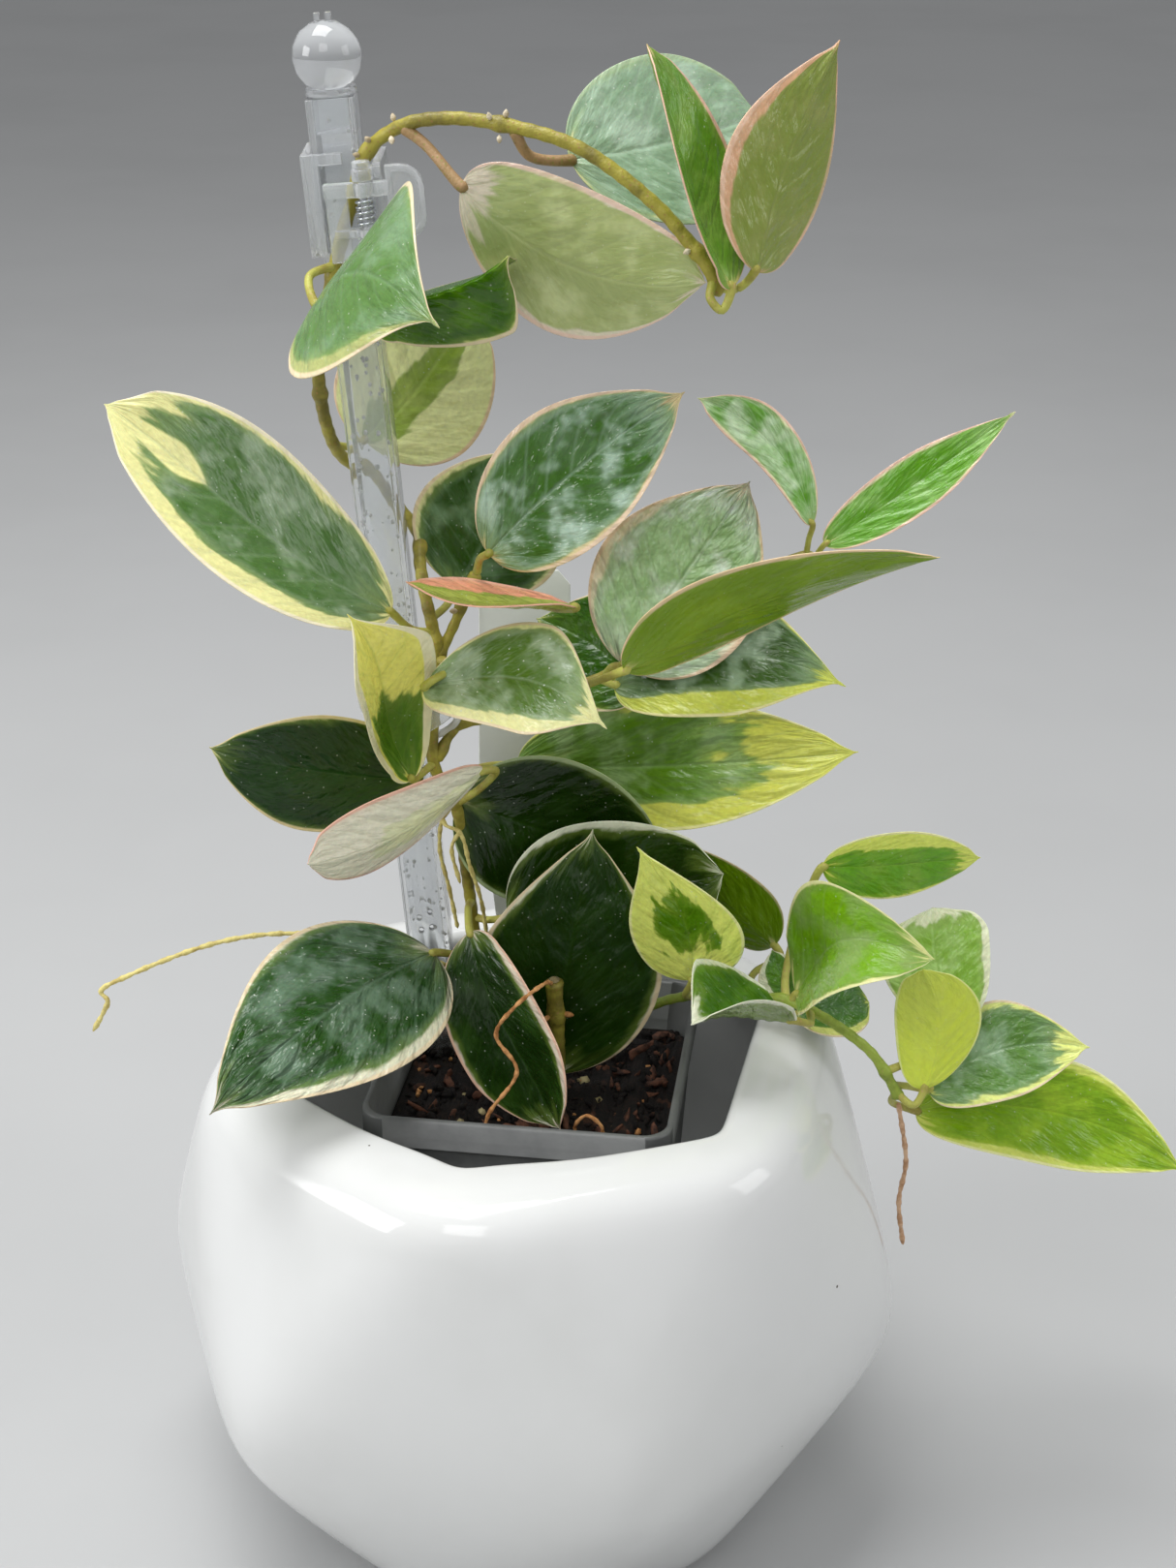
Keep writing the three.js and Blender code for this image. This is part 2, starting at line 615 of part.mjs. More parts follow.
// the petiole leaves the stem at "from", passes the "via" points and runs into the blade
function leafSolid(leaf, stems) {
  const { body, along, base } = leafBlade(leaf);
  const radius = leaf.width < 20 ? LEAF.petiole * 0.75 : LEAF.petiole;
  const end = base.clone().addScaledVector(along, 1.6);
  const route = [leaf.from, ...(leaf.via ?? []), leaf.base, end.toArray()];
  const stalk = tube(route, radius, route.length, 5);
  const whole = body.add(stalk).subtract(stems[leaf.on ?? 'climbing']);
  const parts = whole.decompose();
  return parts.sort((a, b) => b.volume() - a.volume())[0];
}

const LEAVES = [
  { base: [12, 10, 346], tip: [54, 34, 351], width: 40, face: [0, -0.85, 0.5], arch: 0.04, fold: 6,
    widest: 0.5, bend: 0.04, sharp: 0.6, from: [0, 4.4, 353.8], via: [[3.5, 6.5, 347.6]], look: GREEN_LEAF },
  { base: [46, -8.5, 323], tip: [28, -4, 372], width: 30, face: [0.9, -0.4, 0.2], fold: 22, widest: 0.38,
    sharp: 0.8, arch: -0.03, droop: 0.03, from: [42.3, -5, 323.8], via: [[41.6, -9, 320.8], [44, -9.8, 318.6]],
    look: GREEN_LEAF },
  { base: [51, -6, 326], tip: [68, 8, 371], width: 30, face: [-0.45, 0.85, 0.25], arch: 0.02, fold: 8,
    widest: 0.38, bend: 0.03, sharp: 1.1, twist: -12, from: [43, -4.9, 322.2], via: [[47.8, -2.6, 321.6]],
    look: PALE_LEAF },
  { base: [-11, 3, 342], tip: [41, -3, 323], width: 34, face: [0.13, 0.95, 0.15], arch: 0.02, fold: 6,
    widest: 0.47, bend: -0.15, sharp: 0.6, droop: -0.03, twist: -10, from: [-23.8, 10, 353.2],
    via: [[-18.6, 8, 349.6]], look: PALE_LEAF },
  { base: [-42.5, -2.4, 318.3], tip: [-13.6, -45, 323.9], width: 46, face: [-0.73, -0.4, 0.55], arch: 0.12,
    droop: 0.03, fold: -6, bend: -0.12, twist: 22, widest: 0.34, sharp: 1.4, from: [-39.4, 13, 322.9],
    via: [[-44.4, 7, 322]], look: GREEN_LEAF },
  { base: [-31.6, 6, 311.8], tip: [-0.7, -10.4, 330.4], width: 28, face: [-0.66, -0.57, 0.49], fold: -52,
    widest: 0.78, bend: 0.06, arch: 0.05, droop: -0.12, twist: -9, sharp: 1.2, from: [-44.3, 15.4, 301],
    via: [[-39, 11.4, 304.2]], look: GREEN_LEAF },
  { base: [-37, 36, 275], tip: [-11, 32, 309], width: 36, face: [0, -1, 0.15], fold: 5, widest: 0.4,
    sharp: 0.5, bend: 0.04, from: [-42, 27.5, 275.6], via: [[-44, 31, 276.6], [-40.6, 35, 275]],
    look: PALE_LEAF },
  { base: [-29.3, 4.6, 245], tip: [-88.5, -6.4, 297.4], width: 41, face: [0.65, -0.52, 0.56], fold: 12,
    widest: 0.48, bend: -0.04, droop: 0.05, twist: -22, sharp: 0.6, from: [-20.4, 12, 237],
    via: [[-25, 10, 238.6]], look: DARK_LEAF },
  { base: [-25.7, 2, 203.9], tip: [-37.5, -12, 250.9], width: 28, face: [0.5, -0.75, 0.35], fold: 35,
    widest: 0.75, arch: -0.04, bend: 0.04, droop: 0.15, sharp: 1.5, from: [-21, 10, 204.4], look: PALE_LEAF },
  { base: [-24, 12, 198], tip: [-73, 2, 212], width: 31, face: [-0.1, -1, 0.05], fold: 6, widest: 0.5,
    arch: 0.05, droop: 0.05, sharp: 0.8, twist: -10, from: [-19.4, 10.8, 200], look: DARK_LEAF },
  { base: [-9, 0, 207], tip: [-48, -26, 196], width: 28, face: [0.2, 0.85, 0.45], fold: 8, widest: 0.55,
    arch: -0.03, bend: 0.09, sharp: 0.5, twist: 18, from: [-16.4, 13, 192.2],
    via: [[-11, 10, 197], [-6, 3.6, 205.4]], look: PALE_LEAF },
  { base: [-15, 26, 243], tip: [1, 36, 273], width: 38, face: [0.2, -0.95, 0.1], fold: 5, widest: 0.42,
    sharp: 0.7, from: [-21.2, 13, 240], via: [[-18, 20, 240.4]], look: DARK_LEAF },
  { base: [-7, 8, 258], tip: [37, 4, 297], width: 32, face: [0, -0.93, 0.36], fold: 8, arch: 0.04,
    widest: 0.44, bend: -0.03, sharp: 0.9, from: [-10.1, 15.1, 250.6], via: [[-9, 11.4, 255.6]],
    look: GREEN_LEAF },
  { base: [13, 0, 248], tip: [-25, -4, 256], width: 29, face: [0, 0.15, 0.99], fold: 10, widest: 0.53,
    arch: -0.06, droop: -0.04, twist: -16, from: [-11.4, 14.8, 248], via: [[0, 16.5, 243.6], [9, 7, 245]],
    look: PALE_LEAF },
  { base: [-21.7, -4, 229.9], tip: [20, -18, 225.9], width: 28, face: [0, -0.7, 0.72], fold: 10,
    widest: 0.58, bend: -0.14, arch: 0.05, sharp: 1.5, droop: 0.04, from: [-19.3, 11, 231],
    via: [[-15, 4, 231.8], [-19.6, -5.6, 232.4]], look: DARK_LEAF },
  { base: [24, 12, 229], tip: [53, 18, 272], width: 40, face: [0, -0.88, 0.48], fold: 6, widest: 0.42,
    sharp: 0.9, twist: 16, from: [20, 18.4, 223.8], via: [[21.6, 14.6, 227.4]], look: GREEN_LEAF },
  { base: [24.1, -8, 235.8], tip: [92.1, -18, 266.8], width: 32, face: [-0.1, 0.71, 0.7], fold: 8,
    widest: 0.34, arch: 0.08, bend: -0.04, sharp: 0.7, twist: 14, from: [13.6, 17.9, 220.7],
    via: [[13.6, 5, 226]], look: GREEN_LEAF },
  { base: [29, 26, 216], tip: [3, 42, 229], width: 30, face: [0, -0.9, 0.4], fold: 5, widest: 0.5,
    bend: 0.08, from: [21, 18.4, 224], via: [[28, 23.4, 218.6]], look: DARK_LEAF },
  { base: [22, 12, 223.9], tip: [76, 6, 226], width: 31, face: [0, -0.8, 0.6], fold: 10, widest: 0.47,
    arch: 0.05, bend: -0.12, sharp: 1.3, droop: 0.03, from: [18.4, 18, 222.9], look: GREEN_LEAF },
  { base: [-2, 38, 191], tip: [82, 24, 201], width: 33, face: [0, -0.85, 0.5], fold: 8, widest: 0.46,
    bend: 0.02, sharp: 0.9, droop: 0.03, from: [-17.5, 12.2, 194.8], via: [[-14.8, 20, 196.4], [-9, 31, 194]],
    look: GREEN_LEAF },
  { base: [-15.8, 15, 192.4], tip: [32.7, 22, 169.8], width: 40, face: [0, -0.98, 0.08], fold: 4,
    widest: 0.43, sharp: 0.5, droop: -0.04, twist: 10, from: [-16.4, 13, 192], look: DARK_LEAF },
  { base: [-4, 13, 161], tip: [49, 11, 174], width: 41, face: [0, -0.98, 0.18], fold: 5, widest: 0.4,
    sharp: 0.5, from: [-12.9, 19.6, 157.5], via: [[-9, 16, 158.6]], look: DARK_LEAF },
  { base: [63, 20, 149], tip: [36, 32, 173], width: 23, face: [0.45, 0.85, 0.2], fold: 5, widest: 0.3,
    sharp: 0.9, from: [55, 8.6, 141.2], via: [[58, 17, 143], [64.4, 18.8, 146.6]], on: 'trailing',
    look: DARK_LEAF },
  { base: [6, 4, 121], tip: [17, -1, 192], width: 48, face: [0.15, -0.98, 0.05], fold: 6, widest: 0.4,
    sharp: 1.1, arch: -0.03, from: [16, 19.6, 120], via: [[10, 12, 120.2]], on: 'trailing', look: DARK_LEAF },
  { base: [-12.8, 0, 163.9], tip: [8.9, -24, 122.9], width: 34, face: [-0.6, -0.79, 0.08], fold: 12,
    widest: 0.62, bend: 0.04, sharp: 0.7, droop: -0.05, twist: 16, from: [-13.4, 18.8, 162.4],
    via: [[-13.6, 8, 165.6]], look: DARK_LEAF },
  { base: [-22, 2, 157], tip: [-68, -60, 151], width: 42, face: [0.15, -0.63, 0.76], fold: -3, arch: 0.05,
    widest: 0.37, bend: 0.03, from: [-12.4, 20, 148.4], via: [[-14, 12, 150.4], [-17.4, 6, 154.4]],
    look: DARK_LEAF },
  { base: [41.3, -1, 151], tip: [27.1, -12, 192.8], width: 29, face: [-0.36, -0.93, 0], fold: 6, widest: 0.38,
    bend: 0.1, sharp: 1.3, from: [42, 14.8, 137.2], via: [[40, 5, 143.6]], on: 'trailing', look: PALE_LEAF },
  { base: [64.1, -18, 150], tip: [39.8, -28.8, 155.4], width: 31, face: [0.2, 0.17, 0.97], fold: 39,
    widest: 0.74, sharp: 1.1, bend: 0.1, arch: 0.02, droop: 0.04, twist: -6, from: [70.4, -1.2, 142.4],
    via: [[70, -8, 143.6], [68.6, -14.6, 147]], on: 'trailing', look: DARK_LEAF },
  { base: [66.8, 0, 146.6], tip: [96.5, -21.2, 168.4], width: 34, face: [-0.78, -0.52, 0.34], fold: 33,
    widest: 0.44, arch: 0.16, droop: 0.16, bend: -0.19, twist: -6, sharp: 0.55, from: [66, 1.6, 143.5],
    on: 'trailing', look: GREEN_LEAF },
  { base: [73.6, 15, 174], tip: [114.1, 23.8, 171.8], width: 20, face: [0.19, -0.97, -0.15], fold: 3,
    widest: 0.47, bend: -0.02, arch: 0.04, sharp: 0.8, droop: -0.02, twist: 15, from: [64.6, 2.2, 143.6],
    via: [[65, 9, 147], [68.4, 14.6, 160]], on: 'trailing', look: GREEN_LEAF },
  { base: [108, 4, 135], tip: [102, 18, 161], width: 28, face: [0, -0.95, 0.3], fold: 5, widest: 0.7,
    sharp: 0.45, bend: -0.07, from: [89.4, -5, 127.4], via: [[97, -1, 128.4], [105, 2.6, 131]],
    on: 'trailing', look: GREEN_LEAF },
  { base: [99, -6, 123], tip: [97, -4, 156], width: 22, face: [-0.1, 0.99, 0], fold: 8, widest: 0.54,
    bend: -0.13, sharp: 0.5, arch: 0.04, from: [92.4, -5, 121], via: [[96.4, -8.4, 119.8]],
    on: 'trailing', look: PALE_LEAF },
  { base: [101, 0, 119], tip: [141, 2, 130], width: 25, face: [0, -0.82, 0.57], fold: 8, widest: 0.48,
    bend: -0.12, from: [91.2, -5, 123.4], via: [[95.6, -1, 120.6]], on: 'trailing', look: GREEN_LEAF },
  { base: [99, 4, 110], tip: [170, 6, 90], width: 28, face: [0, -0.8, 0.6], fold: 8, widest: 0.5,
    bend: -0.1, from: [92.3, -4.8, 121], via: [[92.4, 0.8, 114.6]], on: 'trailing', look: GREEN_LEAF },
  { base: [67, 3, 139.2], tip: [86, 7, 140.2], width: 18, face: [0, -0.5, 0.86], fold: 5, widest: 0.6,
    sharp: 0.45, from: [64.6, 2.2, 143.6], via: [[64, 4.4, 140.2]], on: 'trailing', look: GREEN_LEAF },
  { base: [66, 10, 140], tip: [62, 16, 150], width: 12, face: [0, -1, 0.3], fold: 5,
    from: [62, 4, 142.8], via: [[65, 7.6, 140.2]], on: 'trailing', look: GREEN_LEAF },
  { base: [68, 20, 261], tip: [41, 24, 290], width: 13, face: [0.19, -0.85, 0.48], fold: 12, widest: 0.65,
    bend: 0.14, sharp: 0.8, from: [67, 22.1, 252.2], via: [[67.4, 21, 257]], look: GREEN_LEAF },
  { base: [71, 20, 256], tip: [115, 30, 285], width: 14, face: [0.1, -0.85, 0.5], fold: 12, widest: 0.43,
    bend: 0.01, sharp: 1.1, from: [69.4, 22, 252.6], look: GREEN_LEAF },
];

// ---- Assembly ------------------------------------------------------------------------------------
const plant = new THREE.Group();
plant.add(meshOf('cachepot', cachepot(), GLAZE));
plant.add(meshOf('nursery_pot', nurseryPot(), GREY_PLASTIC));

const stakeBar = box(
  [-STAKE.side / 2 - GAP, STAKE.side / 2 + GAP],
  [-STAKE.side / 2 - GAP, STAKE.side / 2 + GAP],
  [-GAP, tubeTop],
).transform(stakePlace.elements);
const soilCuts = [
  stakeBar, climbingVine(TUBE_GAP), trailingVine(TUBE_GAP), plantLabel(GAP),
  tube(STUMP, RADIUS.stump + TUBE_GAP, 6, 8),
];
plant.add(meshOf('potting_mix', pottingMix(soilCuts), MIX));
plant.add(meshOf('plant_label', plantLabel(), CLEAR));

const stakeGroup = new THREE.Group();
stakeGroup.applyMatrix4(stakePlace);
stakeGroup.add(meshOf('stake', stake(), CLEAR));
stakeGroup.add(meshOf('stake_ball', stakeBall(), CLEAR));

const clipGroup = new THREE.Group();
clipGroup.position.z = CLIP.height;
clipGroup.add(meshOf('clip_jaw', clipJaw(), CLEAR));
clipGroup.add(meshOf('clip_lever', clipLever(), CLEAR));
clipGroup.add(meshOf('clip_spring', clipSpring(), STEEL));

const bandGroup = new THREE.Group();
bandGroup.position.z = BAND.height;
bandGroup.rotation.y = radians(BAND.tilt);
bandGroup.add(meshOf('vine_band', vineBand(), CLEAR));
stakeGroup.add(clipGroup, bandGroup);
plant.add(stakeGroup);

const stemRoom = { climbing: climbingVine(TUBE_GAP), trailing: trailingVine(TUBE_GAP) };
const rootOn = (path, room, steps) => tube(path, RADIUS.root, steps, 5).subtract(room);
plant.add(meshOf('climbing_vine', climbingVine(), STEM));
plant.add(meshOf('trailing_vine', trailingVine(), STEM));
plant.add(meshOf('cut_stump', cutStump(), DRY));
plant.add(meshOf('left_root', rootOn(LEFT_ROOT, stemRoom.climbing, 20), DRY));
const stakeRoots = join(STAKE_ROOTS.map((path) => tube(path, RADIUS.root, 8, 5)));
plant.add(meshOf('stake_roots', stakeRoots.subtract(stemRoom.climbing), DRY));
plant.add(meshOf('hanging_root', rootOn(HANGING_ROOT, stemRoom.trailing, 10), DRY));

LEAVES.forEach((leaf, index) => {
  const name = `leaf_${String(index + 1).padStart(2, '0')}`;
  plant.add(meshOf(name, leafSolid(leaf, stemRoom), leaf.look));
});

export default plant;
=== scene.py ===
# %% [markdown]
# # A potted hoya on a clear stake
# The real thing is a variegated hoya, a climbing houseplant with thick waxy leaves. It grows in a thin
# square nursery pot, and that pot stands inside a white glazed cachepot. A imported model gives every
# piece its place and size. This lesson gives each piece its finer shape and its finish.

import bmesh
import bpy
import numpy as np
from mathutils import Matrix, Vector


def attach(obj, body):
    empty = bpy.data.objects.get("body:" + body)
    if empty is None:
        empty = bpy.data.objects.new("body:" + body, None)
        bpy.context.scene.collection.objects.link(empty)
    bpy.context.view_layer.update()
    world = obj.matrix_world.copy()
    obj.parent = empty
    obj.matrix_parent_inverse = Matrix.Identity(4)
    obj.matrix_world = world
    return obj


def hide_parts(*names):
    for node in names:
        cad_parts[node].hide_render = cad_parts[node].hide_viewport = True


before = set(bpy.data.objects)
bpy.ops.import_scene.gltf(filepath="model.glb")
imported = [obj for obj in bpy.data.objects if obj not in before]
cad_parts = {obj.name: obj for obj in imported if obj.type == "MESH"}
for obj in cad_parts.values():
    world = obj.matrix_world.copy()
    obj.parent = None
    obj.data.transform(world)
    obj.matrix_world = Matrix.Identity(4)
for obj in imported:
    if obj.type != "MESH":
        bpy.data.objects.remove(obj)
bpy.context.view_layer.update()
MM = 0.001
BODY = "plant"

# %% [markdown]
# ## Camera, floor and light
# The photograph looks down on the plant by about 25 degrees, with the lens a little over half a metre
# away. The camera comes first, so that each later step can be judged from the right place. A pale
# floor and large soft lights keep the colours honest and give the wax and the glaze long highlights.

# %% Camera
camera = bpy.data.objects.new("camera", bpy.data.cameras.new("camera"))
bpy.context.scene.collection.objects.link(camera)
camera.location = (0.0158, -0.5014, 0.4403)
camera.rotation_euler = (np.radians(64.73), 0, 0)
camera.data.lens = 54.1
camera.data.sensor_width = 36
camera.data.clip_start = 0.01
bpy.context.scene.camera = camera
print("camera height in metres:", camera.location.z)

# %% Small helpers for colours and vectors


def rgb(code):
    """A colour from its screen code, such as 'c8d27a', as linear red, green, blue and a full alpha."""
    screen = np.array([int(code[i : i + 2], 16) for i in (0, 2, 4)]) / 255
    linear = np.where(screen <= 0.04045, screen / 12.92, ((screen + 0.055) / 1.055) ** 2.4)
    return (*linear.tolist(), 1.0)


def unit(vector):
    """The same direction with length 1, for one vector or for rows of them."""
    vector = np.asarray(vector, float)
    return vector / np.linalg.norm(vector, axis=-1, keepdims=True)


def smooth(low, high, value):
    """0 below low, 1 above high, and a soft S between them."""
    share = np.clip((value - low) / (high - low), 0, 1)
    return share * share * (3 - 2 * share)


print("white as linear light:", rgb("ffffff"))

# %% Floor and lights


def softbox(name, place, aim, size, power):
    """A square area light that faces a point. Power is in watts."""
    lamp = bpy.data.objects.new(name, bpy.data.lights.new(name, "AREA"))
    bpy.context.scene.collection.objects.link(lamp)
    lamp.location = place
    towards = Vector(aim) - Vector(place)
    lamp.rotation_euler = towards.to_track_quat("-Z", "Y").to_euler()
    lamp.data.size = size
    lamp.data.energy = power


world = bpy.data.worlds.new("studio")
world.use_nodes = True
world.node_tree.nodes["Background"].inputs["Color"].default_value = rgb("e9eaec")
world.node_tree.nodes["Background"].inputs["Strength"].default_value = 0.42
bpy.context.scene.world = world
bpy.context.scene.view_settings.view_transform = "Standard"
softbox("light_above", (-0.2, 0.1, 1.3), (0, 0, 0.2), 0.7, 12)
softbox("light_left", (-1.3, -0.45, 0.7), (0, 0, 0.2), 0.6, 8)
softbox("light_right", (1.35, -0.35, 0.8), (0, 0, 0.15), 0.7, 4)
softbox("light_front", (-0.12, -0.75, 0.9), (0, 0, 0.3), 0.45, 2)

# %% [markdown]
# ## How a surface becomes a mesh
# Most pieces here are one of two things: a grid of points that bends round into a closed skin, or a
# round section carried along a path. Both are worked out as whole arrays. The helper below joins one
# or more such skins into one object, gives each its own finish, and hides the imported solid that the
# new piece stands for.

# %% From arrays to an object


def skin(points, finish=0, along=0.5, across=0.5, under=0):
    """A closed skin over a grid of rows by columns: the last column meets the first, and a middle point
    closes each end. Each cell gives one four-sided face. The faces are turned outwards by the sign of
    the volume, which is a sixth of the sum of a . (b x c) over the triangles."""
    rows, columns = points.shape[:2]
    vertices = np.concatenate([points.reshape(-1, 3), points[[0, -1]].mean(1)])
    i, j = np.meshgrid(np.arange(rows - 1), np.arange(columns), indexing="ij")
    i, j, k = i.ravel(), j.ravel(), (j.ravel() + 1) % columns
    quads = np.stack([i * columns + j, i * columns + k, (i + 1) * columns + k, (i + 1) * columns + j], 1)
    j = np.arange(columns)
    k, top, first, last = (j + 1) % columns, (rows - 1) * columns, rows * columns, rows * columns + 1
    fans = np.concatenate([
        np.stack([np.full(columns, first), k, j], 1),
        np.stack([np.full(columns, last), top + j, top + k], 1),
    ])
    triangles = np.concatenate([quads[:, [0, 1, 2]], quads[:, [0, 2, 3]], fans])
    a, b, c = vertices[triangles[:, 0]], vertices[triangles[:, 1]], vertices[triangles[:, 2]]
    if (a * np.cross(b, c)).sum() < 0:
        quads, fans = quads[:, ::-1], fans[:, ::-1]

    def spread(values):
        grid = np.broadcast_to(np.asarray(values, float), (rows, columns))
        return np.concatenate([grid.ravel(), grid[[0, -1]].mean(1)])

    return {"vertices": vertices, "faces": quads.tolist() + fans.tolist(), "finish": finish,
            "along": spread(along), "across": spread(across), "under": spread(under)}


def piece(name, parts, finishes, nodes=(), body=BODY):
    """One object from its parts, given in millimetres. It rides on a body and stands for its nodes."""
    starts = np.cumsum([0] + [len(part["vertices"]) for part in parts])
    vertices = np.concatenate([part["vertices"] for part in parts]) * MM
    faces = [[corner + start for corner in face] for part, start in zip(parts, starts) for face in part["faces"]]
    mesh = bpy.data.meshes.new(name)
    mesh.from_pydata(vertices.tolist(), [], faces)
    for finish in finishes:
        mesh.materials.append(finish)
    mesh.polygons.foreach_set("material_index", np.repeat(
        [part["finish"] for part in parts], [len(part["faces"]) for part in parts]).astype(np.int32))
    mesh.polygons.foreach_set("use_smooth", np.ones(len(faces), bool))
    corner = np.zeros(len(mesh.loops), np.int32)
    mesh.loops.foreach_get("vertex_index", corner)
    along, across, under = (np.concatenate([part[key] for part in parts]) for key in ("along", "across", "under"))
    layer = mesh.uv_layers.new(name="surface")
    layer.data.foreach_set("uv", np.stack([along, across], 1)[corner].astype(np.float32).ravel())
    mesh.attributes.new("underside", "FLOAT", "POINT").data.foreach_set("value", under.astype(np.float32))
    mesh.update()
    made = bpy.data.objects.new(name, mesh)
    bpy.context.scene.collection.objects.link(made)
    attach(made, body)
    if nodes:
        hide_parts(*nodes)
    return made


# %% A path through given points, and a tube along it


def spline(points, step):
    """A smooth curve through the points, then resampled at equal steps. It is a centripetal Catmull-Rom
    curve: the time between two points is the square root of their distance, and the slope at each
    point comes from the points before and after it."""
    p = np.asarray(points, float)
    p = np.concatenate([[2 * p[0] - p[1]], p, [2 * p[-1] - p[-2]]])
    time = np.sqrt(np.linalg.norm(np.diff(p, axis=0), axis=1))[:, None]
    pace = np.diff(p, axis=0) / time
    slope = pace[:-1] - (p[2:] - p[:-2]) / (time[:-1] + time[1:]) + pace[1:]
    start, end, span = p[1:-2], p[2:-1], time[1:-1]
    out, into = slope[:-1] * span, slope[1:] * span
    t = np.linspace(0, 1, 24, endpoint=False)[:, None, None]
    curve = start + out * t + (3 * (end - start) - 2 * out - into) * t**2 + (2 * (start - end) + out + into) * t**3
    curve = np.concatenate([curve.transpose(1, 0, 2).reshape(-1, 3), p[-2:-1]])
    length = np.concatenate([[0], np.cumsum(np.linalg.norm(np.diff(curve, axis=0), axis=1))])
    even = np.linspace(0, length[-1], max(3, int(length[-1] / step) + 1))
    return np.stack([np.interp(even, length, curve[:, axis]) for axis in range(3)], 1), even


def frames(path):
    """Two directions across a path at each of its points. The direction in which the path turns least
    is crossed with the tangent, so the section never spins."""
    tangent = unit(np.gradient(path, axis=0))
    least = np.linalg.svd(tangent - tangent.mean(0))[2][2]
    side = unit(np.cross(tangent, least))
    return side, np.cross(tangent, side)


def tube(points, radius, step, sides=12, finish=0):
    """A round section along a smooth path. The radius is a number, or a function of the distance along
    the path in millimetres and of the path's length. The last millimetre at each end is domed."""
    path, distance = spline(points, step)
    size = radius(distance, distance[-1]) if callable(radius) else np.full(len(distance), float(radius))
    for far in (distance, distance[-1] - distance):
        size = size * np.sqrt(np.clip(far, 0.05, 1))
    side, other = frames(path)
    angle = 2 * np.pi * np.arange(sides) / sides
    ring = np.cos(angle)[None, :, None] * side[:, None] + np.sin(angle)[None, :, None] * other[:, None]
    points = path[:, None] + size[:, None, None] * ring
    return skin(points, finish, along=(distance / distance[-1])[:, None])


print("curve through three points:", spline([[0, 0, 0], [1, 0, 0], [1, 1, 0]], 0.5)[0].round(2).tolist())

# %% [markdown]
# ## Shaders
# A finish here is a small graph of nodes. Writing one out by hand takes many lines, so a short helper
# adds a node, links or sets its inputs, and gives back its output.

# %% A helper for node graphs


class Graph:
    """Adds nodes to one tree. Each method gives back the new node's first output."""

    def __init__(self, tree):
        self.tree = tree

    def node(self, kind, inputs=(), output=0, **settings):
        made = self.tree.nodes.new("ShaderNode" + kind)
        for key, value in settings.items():
            setattr(made, key, value)
        for key, value in dict(inputs).items():
            if isinstance(value, bpy.types.NodeSocket):
                self.tree.links.new(value, made.inputs[key])
            else:
                made.inputs[key].default_value = value
        return made.outputs[output]

    def math(self, operation, *values, clamp=False):
        return self.node("Math", dict(enumerate(values)), operation=operation, use_clamp=clamp)

    def times(self, first, second):
        return self.math("MULTIPLY", first, second)

    def minus(self, first, second):
        return self.math("SUBTRACT", first, second)

    def most(self, first, second):
        return self.math("MAXIMUM", first, second)

    def mix(self, share, first, second, blend="MIX"):
        return self.node("Mix", {0: share, 6: first, 7: second}, output=2, data_type="RGBA", blend_type=blend)

    def step(self, value, low, high):
        """0 below low and 1 above high, with a soft S between."""
        inputs = {"Value": value, "From Min": low, "From Max": high}
        return self.node("MapRange", inputs, interpolation_type="SMOOTHSTEP")

    def noise(self, vector, scale, detail=2.0, roughness=0.5):
        inputs = {"Vector": vector, "Scale": scale, "Detail": detail, "Roughness": roughness}
        return self.node("TexNoise", inputs)

    def spots(self, vector, scale, output="Distance"):
        return self.node("TexVoronoi", {"Vector": vector, "Scale": scale}, output=output)

    def place(self):
        """Where the point lies on the object, in metres."""
        return self.node("TexCoord", output="Object")


def shader_group(name, inputs, outputs):
    """An empty node group with named sockets: inputs and outputs map each name to Float, Color or Vector."""
    tree = bpy.data.node_groups.new(name, "ShaderNodeTree")
    for direction, sockets in (("INPUT", inputs), ("OUTPUT", outputs)):
        for socket, kind in sockets.items():
            tree.interface.new_socket(name=socket, in_out=direction, socket_type="NodeSocket" + kind)
    return tree, tree.nodes.new("NodeGroupInput").outputs, tree.nodes.new("NodeGroupOutput").inputs


def principled(name, **sockets):
    """A material with one Principled shader. Plain values are set on the shader's own sockets."""
    material = bpy.data.materials.new(name)
    material.use_nodes = True
    shader = material.node_tree.nodes["Principled BSDF"]
    for key, value in sockets.items():
        shader.inputs[key.replace("_", " ")].default_value = value
    return material, Graph(material.node_tree), shader.inputs


def feed(graph, value, socket):
    graph.tree.links.new(value, socket)


def bump(graph, sockets, height, depth, strength=1.0):
    """Small relief: the height, from 0 to 1, stands for a depth in metres."""
    inputs = {"Height": height, "Distance": depth, "Strength": strength}
    feed(graph, graph.node("Bump", inputs), sockets["Normal"])


print("Blender", bpy.app.version_string)

# %% [markdown]
# ## Wax, glaze and clear plastic
# Three effects come back in several finishes: fine uneven colour, faint relief, and small specks. Each
# one is a node group, built once, and every material places it with its own values.

# %% Shared effects: mottling and specks


def make_mottling():
    """Cloudy change of colour at two sizes, and a height for faint relief."""
    tree, given, out = shader_group(
        "mottling", {"Colour": "Color", "Darker": "Color", "Scale": "Float", "Amount": "Float"},
        {"Colour": "Color", "Height": "Float"})
    g = Graph(tree)
    cloud = g.noise(g.place(), given["Scale"], 4.0, 0.62)
    share = g.times(g.step(cloud, 0.38, 0.68), given["Amount"])
    feed(g, g.mix(share, given["Colour"], given["Darker"]), out["Colour"])
    feed(g, cloud, out["Height"])
    return tree


